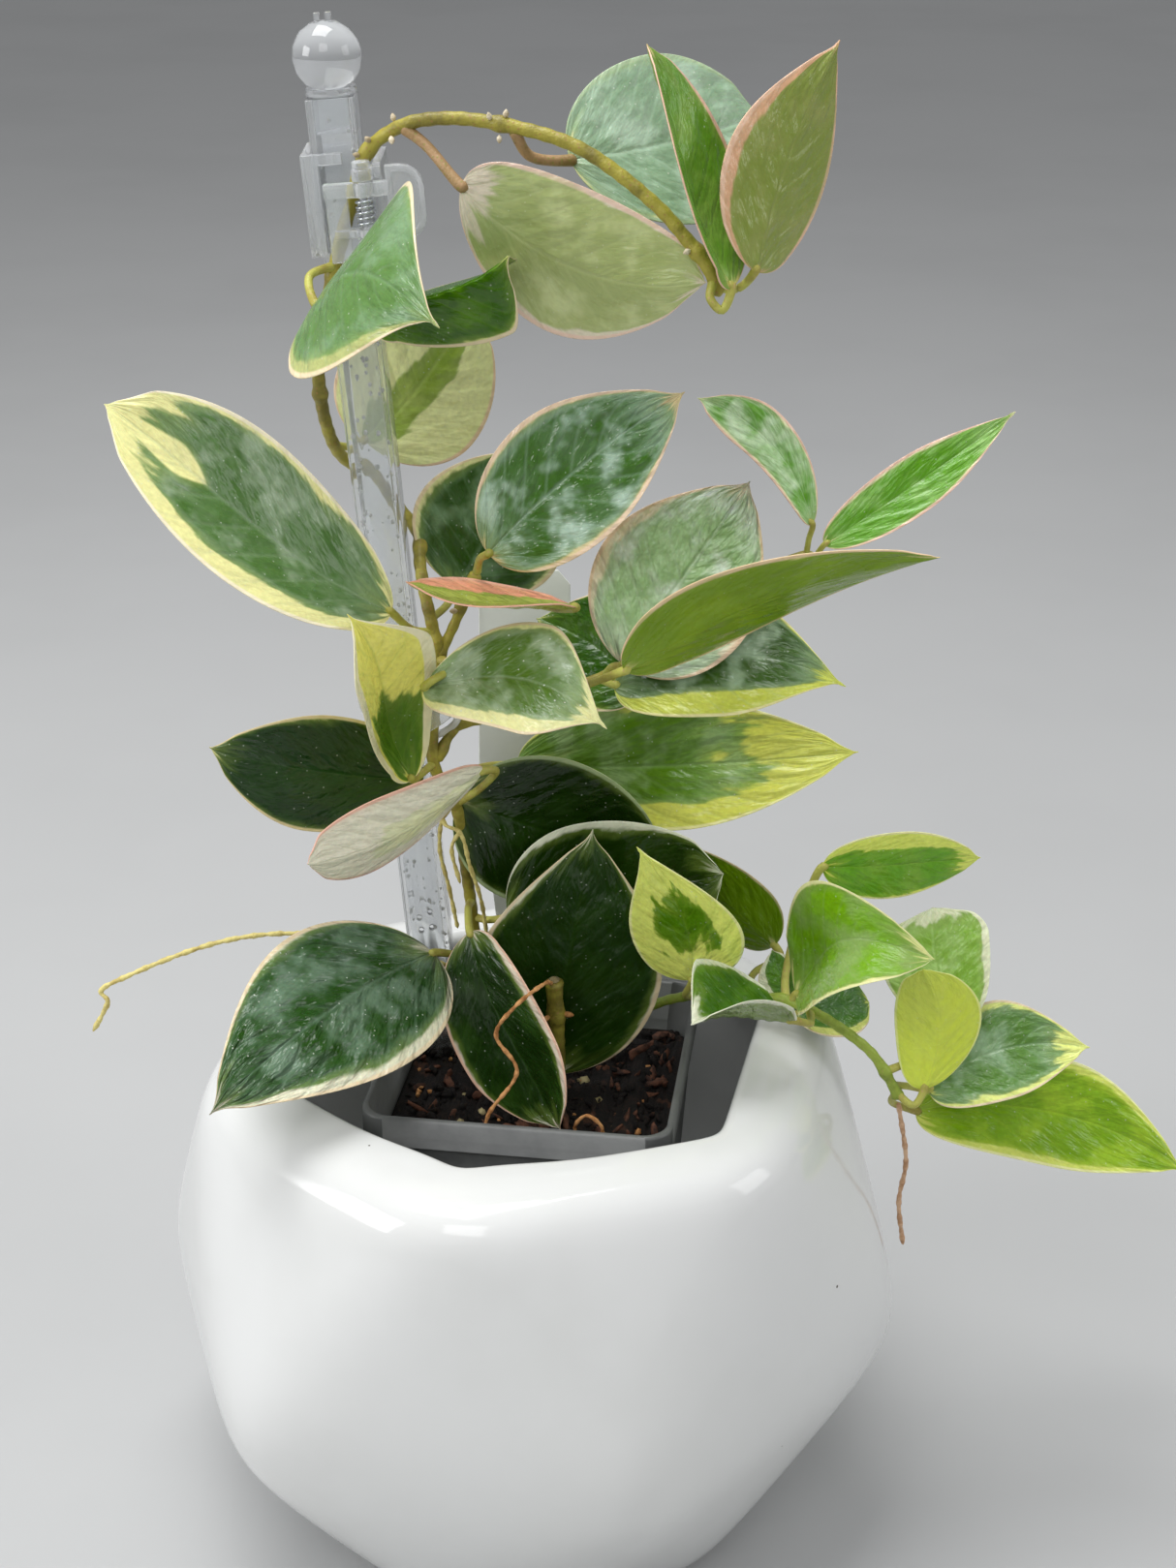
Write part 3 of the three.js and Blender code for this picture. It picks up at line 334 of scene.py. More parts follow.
def make_specks():
    """Small round specks: 1 inside a speck. Only a share of the cells holds one."""
    tree, given, out = shader_group(
        "specks", {"Scale": "Float", "Size": "Float", "Share": "Float"}, {"Mask": "Float"})
    g = Graph(tree)
    near = g.math("LESS_THAN", g.spots(g.place(), given["Scale"]), given["Size"])
    lucky = g.node("SeparateColor", {"Color": g.spots(g.place(), given["Scale"], "Color")})
    feed(g, g.times(near, g.math("LESS_THAN", lucky, given["Share"])), out["Mask"])
    return tree


MOTTLING, SPECKS = make_mottling(), make_specks()


def use(graph, group, output, **values):
    """Places a node group and gives back one of its outputs."""
    return graph.node("Group", values, output, node_tree=group)


def mottled(graph, light, dark, scale, amount):
    """A colour that drifts in clouds from a light tone to a darker one."""
    return use(graph, MOTTLING, "Colour", Colour=rgb(light), Darker=rgb(dark), Scale=scale, Amount=amount)


print("node groups:", [tree.name for tree in bpy.data.node_groups])

# %% Finishes of the pots


def glaze_finish():
    """White glaze: nearly smooth, with a slow wave in its reflections and a few dark pinholes."""
    material, g, sockets = principled("glaze", Roughness=0.1, IOR=1.5)
    specks = use(g, SPECKS, "Mask", Scale=85.0, Size=0.034, Share=0.5)
    white = mottled(g, "e4e5e4", "dddedc", 14.0, 0.6)
    feed(g, g.mix(specks, white, rgb("5b564f")), sockets["Base Color"])
    bump(g, sockets, g.noise(g.place(), 22.0, 1.0), 0.0012, 0.25)
    return material


def nursery_finish():
    """Thin grey plastic that lets some light through, dull, with clouds of dust here and there."""
    material, g, sockets = principled("nursery_plastic", Roughness=0.38, IOR=1.46, Transmission_Weight=0.28)
    feed(g, mottled(g, "7a7c7b", "5f6161", 60.0, 0.7), sockets["Base Color"])
    bump(g, sockets, g.noise(g.place(), 900.0, 2.0), 0.00015, 0.3)
    return material


def mix_finish():
    """Moist peat and bark: almost black, with brown and reddish grains."""
    material, g, sockets = principled("potting_mix", Roughness=0.9)
    grain = g.noise(g.place(), 420.0, 5.0, 0.7)
    brown = g.mix(g.step(grain, 0.45, 0.72), rgb("0d0806"), rgb("2a1a12"))
    fleck = g.step(g.noise(g.place(), 160.0, 3.0), 0.62, 0.7)
    feed(g, g.mix(fleck, brown, rgb("452a1c")), sockets["Base Color"])
    bump(g, sockets, grain, 0.0012, 0.9)
    return material


def bit_finish(name, light, dark, roughness=0.85):
    """A dry bit in the mix or a dry root: two tones and rough relief."""
    material, g, sockets = principled(name, Roughness=roughness)
    feed(g, mottled(g, light, dark, 350.0, 1.0), sockets["Base Color"])
    bump(g, sockets, g.noise(g.place(), 900.0, 3.0), 0.0006, 0.6)
    return material


GLAZE, NURSERY, MIX = glaze_finish(), nursery_finish(), mix_finish()
BARK = bit_finish("bark_bits", "6e4633", "2a1912")
PALE_CHUNKS = bit_finish("pale_chunks", "bcae80", "8a7c58")
ROOT_TAN = bit_finish("dry_root", "d9a066", "97602f")
ROOT_PEG = bit_finish("root_peg", "e0d4ba", "b09c78")
ROOT_PINK = bit_finish("hanging_root", "dcb896", "b08460")
ROOT_CREAM = bit_finish("cream_root", "e0d284", "b8a45c", 0.6)
print("pot and mix finishes:", GLAZE.name, NURSERY.name, MIX.name)

# %% Finishes of the stake, the label and the stems


def clear_finish(name, colour="fbfdff", roughness=0.04, clear=0.86):
    """Clear moulded plastic with faint flow marks."""
    material, g, sockets = principled(
        name, Base_Color=rgb(colour), Roughness=roughness, IOR=1.49, Transmission_Weight=clear)
    bump(g, sockets, g.noise(g.place(), 130.0, 1.0), 0.0003, 0.25)
    return material


def label_finish():
    """Frosted white plastic."""
    material, g, sockets = principled("label_plastic", Roughness=0.42, IOR=1.46, Transmission_Weight=0.15)
    feed(g, mottled(g, "eef0ea", "e2e5e0", 30.0, 0.6), sockets["Base Color"])
    bump(g, sockets, g.noise(g.place(), 700.0, 2.0), 0.0001, 0.3)
    return material


def stem_finish(name, colour, darker, warm):
    """Waxy bark of a young stem: olive, with brown freckles and lengthwise unevenness."""
    material, g, sockets = principled(name, Roughness=0.42, IOR=1.45)
    olive = mottled(g, colour, darker, 140.0, 0.9)
    freckle = use(g, SPECKS, "Mask", Scale=1100.0, Size=0.3, Share=0.4)
    feed(g, g.mix(g.times(freckle, 0.55), olive, rgb(warm)), sockets["Base Color"])
    bump(g, sockets, g.noise(g.place(), 1300.0, 3.0), 0.0004, 0.5)
    return material


CLEAR, LABEL = clear_finish("clear_plastic"), label_finish()
CLIP = clear_finish("clip_plastic", clear=0.74)
# Nearly white and only partly clear: a painted glint, so that the water drops in the stake and the edges of the clear
# band show as the bright dots and lines that the light makes on them.
DROPLET_GLINT = clear_finish("droplet_glint", "ffffff", 0.0, 0.35)
STEM = stem_finish("stem_olive", "aaa040", "70662a", "a07848")
YOUNG_STEM = stem_finish("stem_green", "9cb044", "74862a", "a89858")
PETIOLE = stem_finish("petiole", "bcbc5a", "9a8c3e", "c09c6c")
WARM_PETIOLE = stem_finish("warm_petiole", "b5926a", "8f7642", "8f9444")
STEEL, _, _ = principled("spring_wire", Base_Color=rgb("c8ccd0"), Metallic=1.0, Roughness=0.22)
print("clear, label and stem finishes ready")

# %% [markdown]
# ## The leaf's pattern
# Each leaf has a dark heart, clouds of a paler, greyer colour in it, and a cream margin whose inner edge is
# ragged. These clouds are partly the leaf's own mottling and partly painted sheen: on the glossy leaves they
# stand for soft reflections of the light on the wax. The margin follows the blade, so it reads the blade's
# own coordinates: one runs from the stalk to the tip and one from edge to edge. One node group makes the
# pattern, and each leaf sets its own colours, margins and seed.

# %% The pattern group
SIDE_VEINS, VEIN_SLANT = 7.5, 0.3
CLOUD_SCALE, CLOUD_FROM, CLOUD_FULL = 85.0, 0.44, 0.66


def make_variegation():
    """x runs from -1 to 1 across the blade and u from 0 to 1 along it. A side vein keeps the value
    w = u - VEIN_SLANT |x|. The margin is cream where the distance from the edge, 1 - |x|, shaken by noise that
    is drawn out along the veins, is less than the margin's width. The paler clouds are noise in space, with a
    faint ring of them along the margin. They are partly the leaf's own mottling and partly painted sheen, the
    soft reflections of the light on the wax."""
    floats = ("Left", "Right", "Tip", "Foot", "Ragged", "Wash_And_Sheen", "Rim", "Veins", "Flecks", "Seed", "Centre", "Blush")
    colours = ("Heart", "Washes_And_Sheen", "Halo", "Margin", "Edge", "Below")
    tree, given, out = shader_group(
        "variegation", {**dict.fromkeys(colours, "Color"), **dict.fromkeys(floats, "Float")},
        {"Colour": "Color", "Height": "Float", "Roughness": "Float"})
    g = Graph(tree)
    surface = g.node("SeparateXYZ", {0: g.node("UVMap", uv_map="surface")})
    u, v = surface, surface.node.outputs[1]
    x = g.math("MULTIPLY_ADD", v, 2.0, -1.0)
    off = g.math("ABSOLUTE", x)
    w = g.math("MULTIPLY_ADD", off, -VEIN_SLANT, u)

    def along_veins(stretch, across, shift):
        seed = g.math("ADD", given["Seed"], shift)
        return g.node("CombineXYZ", {0: g.times(w, stretch), 1: g.times(x, across), 2: seed})

    broad = g.minus(g.noise(along_veins(4.6, 2.4, 0.0), 1.0, 2.0, 0.5), 0.5)
    fine = g.minus(g.noise(along_veins(19.0, 6.5, 4.3), 1.0, 3.0, 0.55), 0.5)
    shake = g.times(g.math("MULTIPLY_ADD", fine, 0.28, broad), given["Ragged"])
    edge = g.minus(1.0, off)
    width = g.node("Mix", {0: g.step(x, -0.15, 0.15), 2: given["Left"], 3: given["Right"]})
    reach = g.minus(width, g.math("ADD", edge, shake))
    tip = g.minus(given["Tip"], g.math("ADD", g.minus(1.0, u), shake))
    foot = g.minus(given["Foot"], g.math("ADD", u, shake))
    inside = g.most(g.most(reach, tip), foot)
    streak = g.minus(given["Centre"], g.math("MULTIPLY_ADD", shake, 0.4, off))
    streak = g.minus(streak, g.minus(1.0, g.step(u, 0.42, 0.78)))
    cream = g.step(g.most(inside, streak), -0.025, 0.035)
    halo = g.step(g.most(inside, streak), -0.13, 0.0)
    ring = g.step(inside, -0.2, -0.05)
    # Paler clouds over the heart: partly the leaf's own mottling, partly painted sheen, the soft reflection of the
    # light on the wax put into the colour. A faint ring of that colour runs inside the margin.
    mottle_and_sheen = g.step(g.noise(g.place(), CLOUD_SCALE, 3.0, 0.55), CLOUD_FROM, CLOUD_FULL)
    wash_and_sheen_share = g.math("MULTIPLY", g.most(g.times(ring, 0.45), mottle_and_sheen), given["Wash_And_Sheen"], clamp=True)
    colour = g.mix(wash_and_sheen_share, given["Heart"], given["Washes_And_Sheen"])
    colour = g.mix(g.times(halo, 0.4), colour, given["Halo"])
    colour = g.mix(cream, colour, given["Margin"])
    pinked = g.times(g.step(edge, 0.3, 0.02), given["Blush"])
    colour = g.mix(g.times(pinked, cream), colour, given["Edge"])
    # Faint clouds pull the colour a little further towards that pale colour, again partly painted sheen, and they vary
    # the roughness.
    cloudy = g.step(g.noise(g.place(), 130.0, 3.0), 0.35, 0.7)
    colour = g.mix(g.times(cloudy, 0.16), colour, g.mix(0.5, colour, given["Washes_And_Sheen"]))
    grain = g.step(g.noise(g.place(), 900.0, 2.0), 0.3, 0.75)
    colour = g.mix(0.22, colour, g.mix(1.0, colour, g.mix(grain, rgb("b4b4b4"), rgb("ffffff")), "MULTIPLY"))
    count = g.times(w, SIDE_VEINS)
    line = g.math("ABSOLUTE", g.minus(g.math("FRACT", count), 0.5))
    side = g.minus(1.0, g.step(line, 0.0, 0.12))
    rib = g.minus(1.0, g.step(off, 0.0, 0.05))
    vein = g.times(g.most(g.times(side, 0.5), rib), given["Veins"])
    colour = g.mix(vein, colour, given["Washes_And_Sheen"])
    fleck = use(g, SPECKS, "Mask", Scale=850.0, Size=0.17, Share=0.16)
    colour = g.mix(g.times(fleck, given["Flecks"]), colour, rgb("dfe6d8"))
    thin = g.minus(1.0, g.step(edge, given["Rim"], g.math("ADD", given["Rim"], 0.035)))
    colour = g.mix(thin, colour, given["Edge"])
    under = g.node("Attribute", attribute_name="underside", output=2)
    pale = g.mix(g.math("MULTIPLY_ADD", cream, -0.4, 0.5), colour, given["Below"])
    feed(g, g.mix(under, colour, pale), out["Colour"])
    pucker = g.math("MULTIPLY_ADD", g.noise(along_veins(20.0, 7.0, 6.1), 1.0, 2.0, 0.5), 0.45,
                    g.noise(along_veins(8.0, 3.0, 2.2), 1.0, 1.0, 0.5))
    height = g.math("MULTIPLY_ADD", g.most(g.times(side, 0.3), rib), -0.15, pucker)
    feed(g, height, out["Height"])
    feed(g, g.math("MULTIPLY_ADD", cloudy, 0.12, 0.2), out["Roughness"])
    return tree


VARIEGATION = make_variegation()
print("inputs of the leaf pattern:", len(VARIEGATION.interface.items_tree))

# %% A leaf's own finish
# The paler cloud colour is partly the leaf's own mottling and partly painted sheen on the wax.
USUAL_COLOURS = dict(washes_and_sheen="577a54", halo="8fa84a", margin="e3e0a0", edge="ecd9b4", below="8d9a55")
USUAL_VALUES = dict(left=0.1, right=0.1, tip=0.03, foot=0.0, ragged=0.3, wash_and_sheen=0.5, rim=0.035, veins=0.25, flecks=0.35,
                    centre=-1.0, blush=0.0)
USUAL_PUCKER, PUCKER_DEPTH = 0.35, 0.0034


def leaf_finish(name, seed, pucker=USUAL_PUCKER, **look):
    """The pattern with one leaf's own colours and widths. What a leaf doesn't set stays as usual."""
    material, g, sockets = principled(name, IOR=1.45, Subsurface_Weight=0.06, Subsurface_Scale=0.001)
    values = {key.title(): rgb(value) if isinstance(value, str) else value
              for key, value in {**USUAL_COLOURS, **USUAL_VALUES, **look}.items()}
    colour = use(g, VARIEGATION, "Colour", Seed=seed, **values)
    feed(g, colour, sockets["Base Color"])
    feed(g, colour.node.outputs["Roughness"], sockets["Roughness"])
    bump(g, sockets, colour.node.outputs["Height"], PUCKER_DEPTH, pucker)
    return material


print("leaf finish ready")

# %% [markdown]
# ## The leaves
# A hoya leaf is thick, flat and stiff, folded a little along its midrib, and bent as a whole. So a blade
# is one function of two parameters: how far from stalk to tip, and how far round the blade's thin
# section, over the upper side and back under it.

# %% One blade
BLADE_ROWS, BLADE_AROUND = 72, 64
MIDDLE_THICKNESS, EDGE_THINNER, LEAST_HALF = 0.9, 0.35, 0.45
GROOVE_DEPTH, GROOVE_HALF = 0.3, 0.9


def blade(base, tip, width, face, arch=0.0, droop=0.0, bend=0.0, twist=0.0, fold=8.0, widest=0.42, sharp=1.0,
          pucker=0.12, seed=0.0):
    """The outline is a quarter ellipse up to the widest place and a cosine to the tip, pulled in over the
    last tenth so that the tip ends in a small point. The midrib runs straight from base to tip, plus arch
    times 4u(1-u), droop times that times (2u-1), and bend times the first of them to the side. Both halves
    are lifted by the fold, and swell between the side veins. The section is thin: half its thickness times
    |sin|^0.4 of the angle round it, and the place across is the cosine of that angle."""
    base, tip = np.asarray(base, float), np.asarray(tip, float)
    length = np.linalg.norm(tip - base)
    ahead = (tip - base) / length
    up = unit(np.asarray(face, float) - np.dot(face, ahead) * ahead)
    side = np.cross(ahead, up)
    u = (1 - np.cos(np.linspace(0, np.pi, BLADE_ROWS))) / 2
    with np.errstate(invalid="ignore"):
        swell = np.where(u < widest, np.sqrt(np.clip(1 - (1 - u / widest) ** 2, 0, 1)),
                         np.cos(np.pi / 2 * np.clip((u - widest) / (1 - widest), 0, 1)) ** sharp)
    half = width / 2 * np.nan_to_num(swell)
    half = np.maximum(half * (1 - 0.5 * smooth(0.9, 1, u)), LEAST_HALF) * (1 - 0.7 * smooth(0.975, 1, u))
    hump = 4 * u * (1 - u)
    lifted = arch * hump + droop * hump * (2 * u - 1)
    middle = (base + np.outer(u * length, ahead) + np.outer(lifted * length, up)
              + np.outer(bend * hump * length, side))
    turn = np.radians(twist) * (u - 0.5)
    normal = np.outer(np.cos(turn), up) + np.outer(np.sin(turn), side)
    across = np.outer(np.cos(turn), side) - np.outer(np.sin(turn), up)
    flatten = np.minimum(1, np.minimum(u / 0.12, (1 - u) / 0.08) * 0.6 + 0.4)
    lift = np.radians(fold) * flatten
    angle = 2 * np.pi * (np.arange(BLADE_AROUND) + 0.5) / BLADE_AROUND
    v = np.cos(angle)[None, :]
    size = np.sqrt(v**2 + 0.0025) - 0.05
    bulge = np.sin(2 * np.pi * (SIDE_VEINS * (u[:, None] - VEIN_SLANT * np.abs(v))) + seed)
    bulge = bulge + 0.7 * np.sin(4.1 * v + 9 * u[:, None] + seed)
    groove = GROOVE_DEPTH * np.exp(-((v * half[:, None] / GROOVE_HALF) ** 2))
    height = (half * np.sin(lift))[:, None] * size - groove
    height = height + pucker * bulge * (1 - v**2) * np.minimum(1, 2 * hump)[:, None]
    thick = (MIDDLE_THICKNESS - EDGE_THINNER * np.abs(v)) / 2 * np.sign(np.sin(angle)) * np.abs(np.sin(angle)) ** 0.4
    thick = thick * np.minimum(1, 0.25 + np.minimum(u, 1 - u) * 18)[:, None]
    points = (middle[:, None] + (half * np.cos(lift))[:, None, None] * v[..., None] * across[:, None]
              + (height + thick)[..., None] * normal[:, None])
    return skin(points, 0, along=u[:, None], across=(v + 1) / 2, under=(np.sin(angle) < 0)[None, :])


STALK_INSIDE = 1.6


def petiole(stalk, base, tip, thick):
    """The short stalk from the stem to a little way into the blade, thicker at both ends."""
    inside = np.array(base, float) + STALK_INSIDE * unit(np.array(tip, float) - base)

    def radius(distance, length):
        return thick * (0.92 + 0.25 * (np.abs(2 * distance / length - 1)) ** 3)

    return tube([*stalk, base, inside.tolist()], radius, step=0.5, sides=14, finish=1)


print("a blade has", len(blade([0, 0, 0], [50, 0, 0], 30, [0, 0, 1])["vertices"]), "corners")

# %% [markdown]
# ## Where each leaf is, and what it looks like
# The places are the same as in the imported model, in millimetres. A row starts with the blade's two ends,
# its width, where its upper side faces and the points of its stalk. Then come what bends the blade and
# what its finish needs: the colours that differ from the usual ones and the widths of its margins.

# %% The leaves' places and colours
# On the glossy leaves, such as the 1st, 13th, 16th and 26th, the pale grey or bluish cloud colour is mostly painted
# sheen: the soft reflection of the light on the wax, put into the colour. On the darkest leaves it is only a slightly
# lighter mottling.
LEAVES = [
    ([12, 10, 346], [54, 34, 351], 40, [0, -0.85, 0.5], [[0, 4.4, 353.8], [3.5, 6.5, 347.6]],
     dict(arch=0.04, bend=0.04, fold=6, widest=0.5, sharp=0.6),
     dict(heart="8aa886", washes_and_sheen="b8d0b8", wash_and_sheen=0.8, left=0.0, right=0.0, tip=0.0, edge="a9bf9a", flecks=0.5,
          veins=0.35)),
    ([46, -8.5, 323], [28, -4, 372], 30, [0.9, -0.4, 0.2], [[42.3, -5, 323.8], [41.6, -9, 320.8], [44, -9.8, 318.6]],
     dict(arch=-0.03, droop=0.03, fold=22, widest=0.38, sharp=0.8),
     dict(heart="68a028", washes_and_sheen="a6c862", wash_and_sheen=0.5, left=0.09, right=0.07, margin="e6dc8e", edge="f0c4ac",
          rim=0.06)),
    ([51, -6, 326], [68, 8, 371], 30, [-0.45, 0.85, 0.25], [[43, -4.9, 322.2], [47.8, -2.6, 321.6]],
     dict(arch=0.02, bend=0.03, twist=-12, fold=8, widest=0.38, sharp=1.1),
     dict(heart="7c9438", washes_and_sheen="a9ab6e", wash_and_sheen=0.7, left=0.06, right=0.24, margin="f0b890", edge="f8ccb0",
          below="97a24e", rim=0.06, blush=0.3)),
    ([-11, 3, 342], [41, -3, 323], 34, [0.13, 0.95, 0.15], [[-23.8, 10, 353.2], [-18.6, 8, 349.6]],
     dict(arch=0.02, droop=-0.03, bend=-0.15, twist=-10, fold=6, widest=0.47, sharp=0.6),
     dict(heart="8ea24a", washes_and_sheen="e2ecb0", wash_and_sheen=0.85, left=0.14, right=0.06, margin="fff0dc", edge="ffdccb",
          below="ccd694", rim=0.05, foot=0.1)),
    ([-42.5, -2.4, 318.3], [-13.6, -45, 323.9], 46, [-0.73, -0.4, 0.55], [[-39.4, 13, 322.9], [-44.4, 7, 322]],
     dict(arch=0.12, droop=0.03, bend=-0.12, twist=22, fold=-6, widest=0.34, sharp=1.4),
     dict(heart="5e8640", washes_and_sheen="8aa884", wash_and_sheen=0.6, left=0.03, right=0.2, margin="b8be78", tip=0.04)),
    ([-31.6, 6, 311.8], [-0.7, -10.4, 330.4], 28, [-0.66, -0.57, 0.49], [[-44.3, 15.4, 301], [-39, 11.4, 304.2]],
     dict(arch=0.05, droop=-0.12, bend=0.06, twist=-9, fold=-52, widest=0.78, sharp=1.2),
     dict(heart="366400", washes_and_sheen="6fa01c", wash_and_sheen=0.5, left=0.04, right=0.05, margin="dfe48a")),
    ([-37, 36, 275], [-11, 32, 309], 36, [0, -1, 0.15], [[-42, 27.5, 275.6], [-44, 31, 276.6], [-40.6, 35, 275]],
     dict(bend=0.04, fold=5, widest=0.4, sharp=0.5),
     dict(heart="8fae34", washes_and_sheen="ccdc80", wash_and_sheen=0.5, left=0.74, right=0.74, margin="faffb8", edge="efd2ae",
          ragged=0.35, below="cdd884")),
    ([-29.3, 4.6, 245], [-88.5, -6.4, 297.4], 41, [0.65, -0.52, 0.56], [[-20.4, 12, 237], [-25, 10, 238.6]],
     dict(droop=0.05, bend=-0.04, twist=-22, fold=12, widest=0.48, sharp=0.6),
     dict(heart="4c7430", washes_and_sheen="a4b898", wash_and_sheen=0.75, left=0.3, right=0.12, tip=0.14, margin="f6f2a8", edge="fbf0d0",
          ragged=0.42, centre=0.24, foot=0.04)),
    ([-25.7, 2, 203.9], [-37.5, -12, 250.9], 28, [0.5, -0.75, 0.35], [[-21, 10, 204.4]],
     dict(arch=-0.04, droop=0.15, bend=0.04, fold=35, widest=0.75, sharp=1.5),
     dict(heart="4f7c10", washes_and_sheen="86a83a", wash_and_sheen=0.3, left=0.34, right=0.26, tip=0.55, margin="fffa80", edge="f6efc8",
          ragged=0.35, below="f4f070", rim=0.2)),
    ([-24, 12, 198], [-73, 2, 212], 31, [-0.1, -1, 0.05], [[-19.4, 10.8, 200]],
     dict(arch=0.05, droop=0.05, twist=-10, fold=6, widest=0.5, sharp=0.8),
     dict(heart="133600", washes_and_sheen="2a5210", wash_and_sheen=0.4, left=0.02, right=0.045, edge="e0cf9c", margin="d9d68a")),
    ([-9, 0, 207], [-48, -26, 196], 28, [0.2, 0.85, 0.45], [[-16.4, 13, 192.2], [-11, 10, 197], [-6, 3.6, 205.4]],
     dict(arch=-0.03, bend=0.09, twist=18, fold=8, widest=0.55, sharp=0.5),
     dict(heart="f4f8a0", washes_and_sheen="fffcd8", wash_and_sheen=0.8, left=0.7, right=0.5, margin="fffae0", edge="f4bca4",
          below="ffffe0", tip=0.4, blush=0.3, rim=0.05)),
    ([-15, 26, 243], [1, 36, 273], 38, [0.2, -0.95, 0.1], [[-21.2, 13, 240], [-18, 20, 240.4]],
     dict(fold=5, widest=0.42, sharp=0.7),
     dict(heart="2a500a", washes_and_sheen="7f9f78", wash_and_sheen=0.8, left=0.13, right=0.09, margin="ecebaa")),
    ([-7, 8, 258], [37, 4, 297], 32, [0, -0.93, 0.36], [[-10.1, 15.1, 250.6], [-9, 11.4, 255.6]],
     dict(arch=0.04, bend=-0.03, fold=8, widest=0.44, sharp=0.9),
     dict(heart="42701e", washes_and_sheen="c2dcc8", wash_and_sheen=0.95, left=0.07, right=0.09, tip=0.08, margin="f0dca4", edge="f6d9ba",
          pucker=0.6, rim=0.05)),
    ([13, 0, 248], [-25, -4, 256], 29, [0, 0.15, 0.99], [[-11.4, 14.8, 248], [0, 16.5, 243.6], [9, 7, 245]],
     dict(arch=-0.06, droop=-0.04, twist=-16, fold=10, widest=0.53),
     dict(heart="b4be54", washes_and_sheen="b4c25a", margin="ffae8c", edge="ffc0a8", rim=0.08, left=0.12, right=0.6, blush=1.0,
          below="b9b058")),
    ([-21.7, -4, 229.9], [20, -18, 225.9], 28, [0, -0.7, 0.72], [[-19.3, 11, 231], [-15, 4, 231.8],
      [-19.6, -5.6, 232.4]],
     dict(arch=0.05, droop=0.04, bend=-0.14, fold=10, widest=0.58, sharp=1.5),
     dict(heart="5b7e2c", washes_and_sheen="b4c8a4", wash_and_sheen=0.9, left=0.1, right=0.3, tip=0.17, margin="f8f5b0", flecks=0.9)),
    ([24, 12, 229], [53, 18, 272], 40, [0, -0.88, 0.48], [[20, 18.4, 223.8], [21.6, 14.6, 227.4]],
     dict(twist=16, fold=6, widest=0.42, sharp=0.9),
     dict(heart="b2d498", washes_and_sheen="f0fcec", wash_and_sheen=0.95, left=0.15, right=0.1, tip=0.07, margin="faf0cc", edge="f4d6b4",
          pucker=1.0, blush=0.3)),
    ([24.1, -8, 235.8], [92.1, -18, 266.8], 32, [-0.1, 0.71, 0.7], [[13.6, 17.9, 220.7], [13.6, 5, 226]],
     dict(arch=0.08, bend=-0.04, twist=14, fold=8, widest=0.34, sharp=0.7),
     dict(heart="608600", washes_and_sheen="93b41e", wash_and_sheen=0.6, left=0.05, right=0.06, margin="e9dc94", edge="f6d6ae",
          below="85a412", rim=0.06)),
    ([29, 26, 216], [3, 42, 229], 30, [0, -0.9, 0.4], [[21, 18.4, 224], [28, 23.4, 218.6]],
     dict(bend=0.08, fold=5, widest=0.5),
     dict(heart="2f5c0a", washes_and_sheen="5b8420", left=0.06, right=0.06, margin="dfe08e")),
    ([22, 12, 223.9], [76, 6, 226], 31, [0, -0.8, 0.6], [[18.4, 18, 222.9]],
     dict(arch=0.05, droop=0.03, bend=-0.12, fold=10, widest=0.47, sharp=1.3),
     dict(heart="3c6016", washes_and_sheen="b0cba6", wash_and_sheen=0.9, left=0.05, right=0.36, margin="dce45e", tip=0.08,
          edge="efe7a6")),
    ([-2, 38, 191], [82, 24, 201], 33, [0, -0.85, 0.5], [[-17.5, 12.2, 194.8], [-14.8, 20, 196.4], [-9, 31, 194]],
     dict(droop=0.03, bend=0.02, fold=8, widest=0.46, sharp=0.9),
     dict(heart="5a860e", washes_and_sheen="9ab87a", wash_and_sheen=0.8, left=0.07, right=0.4, tip=0.32, margin="dce060", ragged=0.5,
          edge="f0eda4", halo="a4bc50")),
    ([-15.8, 15, 192.4], [32.7, 22, 169.8], 40, [0, -0.98, 0.08], [[-16.4, 13, 192]],
     dict(droop=-0.04, twist=10, fold=4, widest=0.43, sharp=0.5),
     dict(heart="122a02", washes_and_sheen="2a4c10", wash_and_sheen=0.4, left=0.02, right=0.015, edge="aabc8a")),
    ([-4, 13, 161], [49, 11, 174], 41, [0, -0.98, 0.18], [[-12.9, 19.6, 157.5], [-9, 16, 158.6]],
     dict(fold=5, widest=0.4, sharp=0.5),
     dict(heart="183202", washes_and_sheen="27480e", wash_and_sheen=0.4, left=0.1, right=0.03, margin="e9ecd2", edge="e9ecd2",
          rim=0.045)),
    ([63, 20, 149], [36, 32, 173], 23, [0.45, 0.85, 0.2], [[55, 8.6, 141.2], [58, 17, 143], [64.4, 18.8, 146.6]],
     dict(fold=5, widest=0.3, sharp=0.9),
     dict(heart="6a9400", washes_and_sheen="88b020", wash_and_sheen=0.5, left=0.04, right=0.04, below="6c9004")),
    ([6, 4, 121], [17, -1, 192], 48, [0.15, -0.98, 0.05], [[16, 19.6, 120], [10, 12, 120.2]],
     dict(arch=-0.03, fold=6, widest=0.4, sharp=1.1),
     dict(heart="1a3806", washes_and_sheen="2f5212", wash_and_sheen=0.4, left=0.08, right=0.03, margin="eeecca", veins=0.15)),
    ([-12.8, 0, 163.9], [8.9, -24, 122.9], 34, [-0.6, -0.79, 0.08], [[-13.4, 18.8, 162.4], [-13.6, 8, 165.6]],
     dict(droop=-0.05, bend=0.04, twist=16, fold=12, widest=0.62, sharp=0.7),
     dict(heart="183208", washes_and_sheen="3a5f1c", wash_and_sheen=0.4, left=0.15, right=0.05, margin="f2e2cc", edge="efc6ac")),
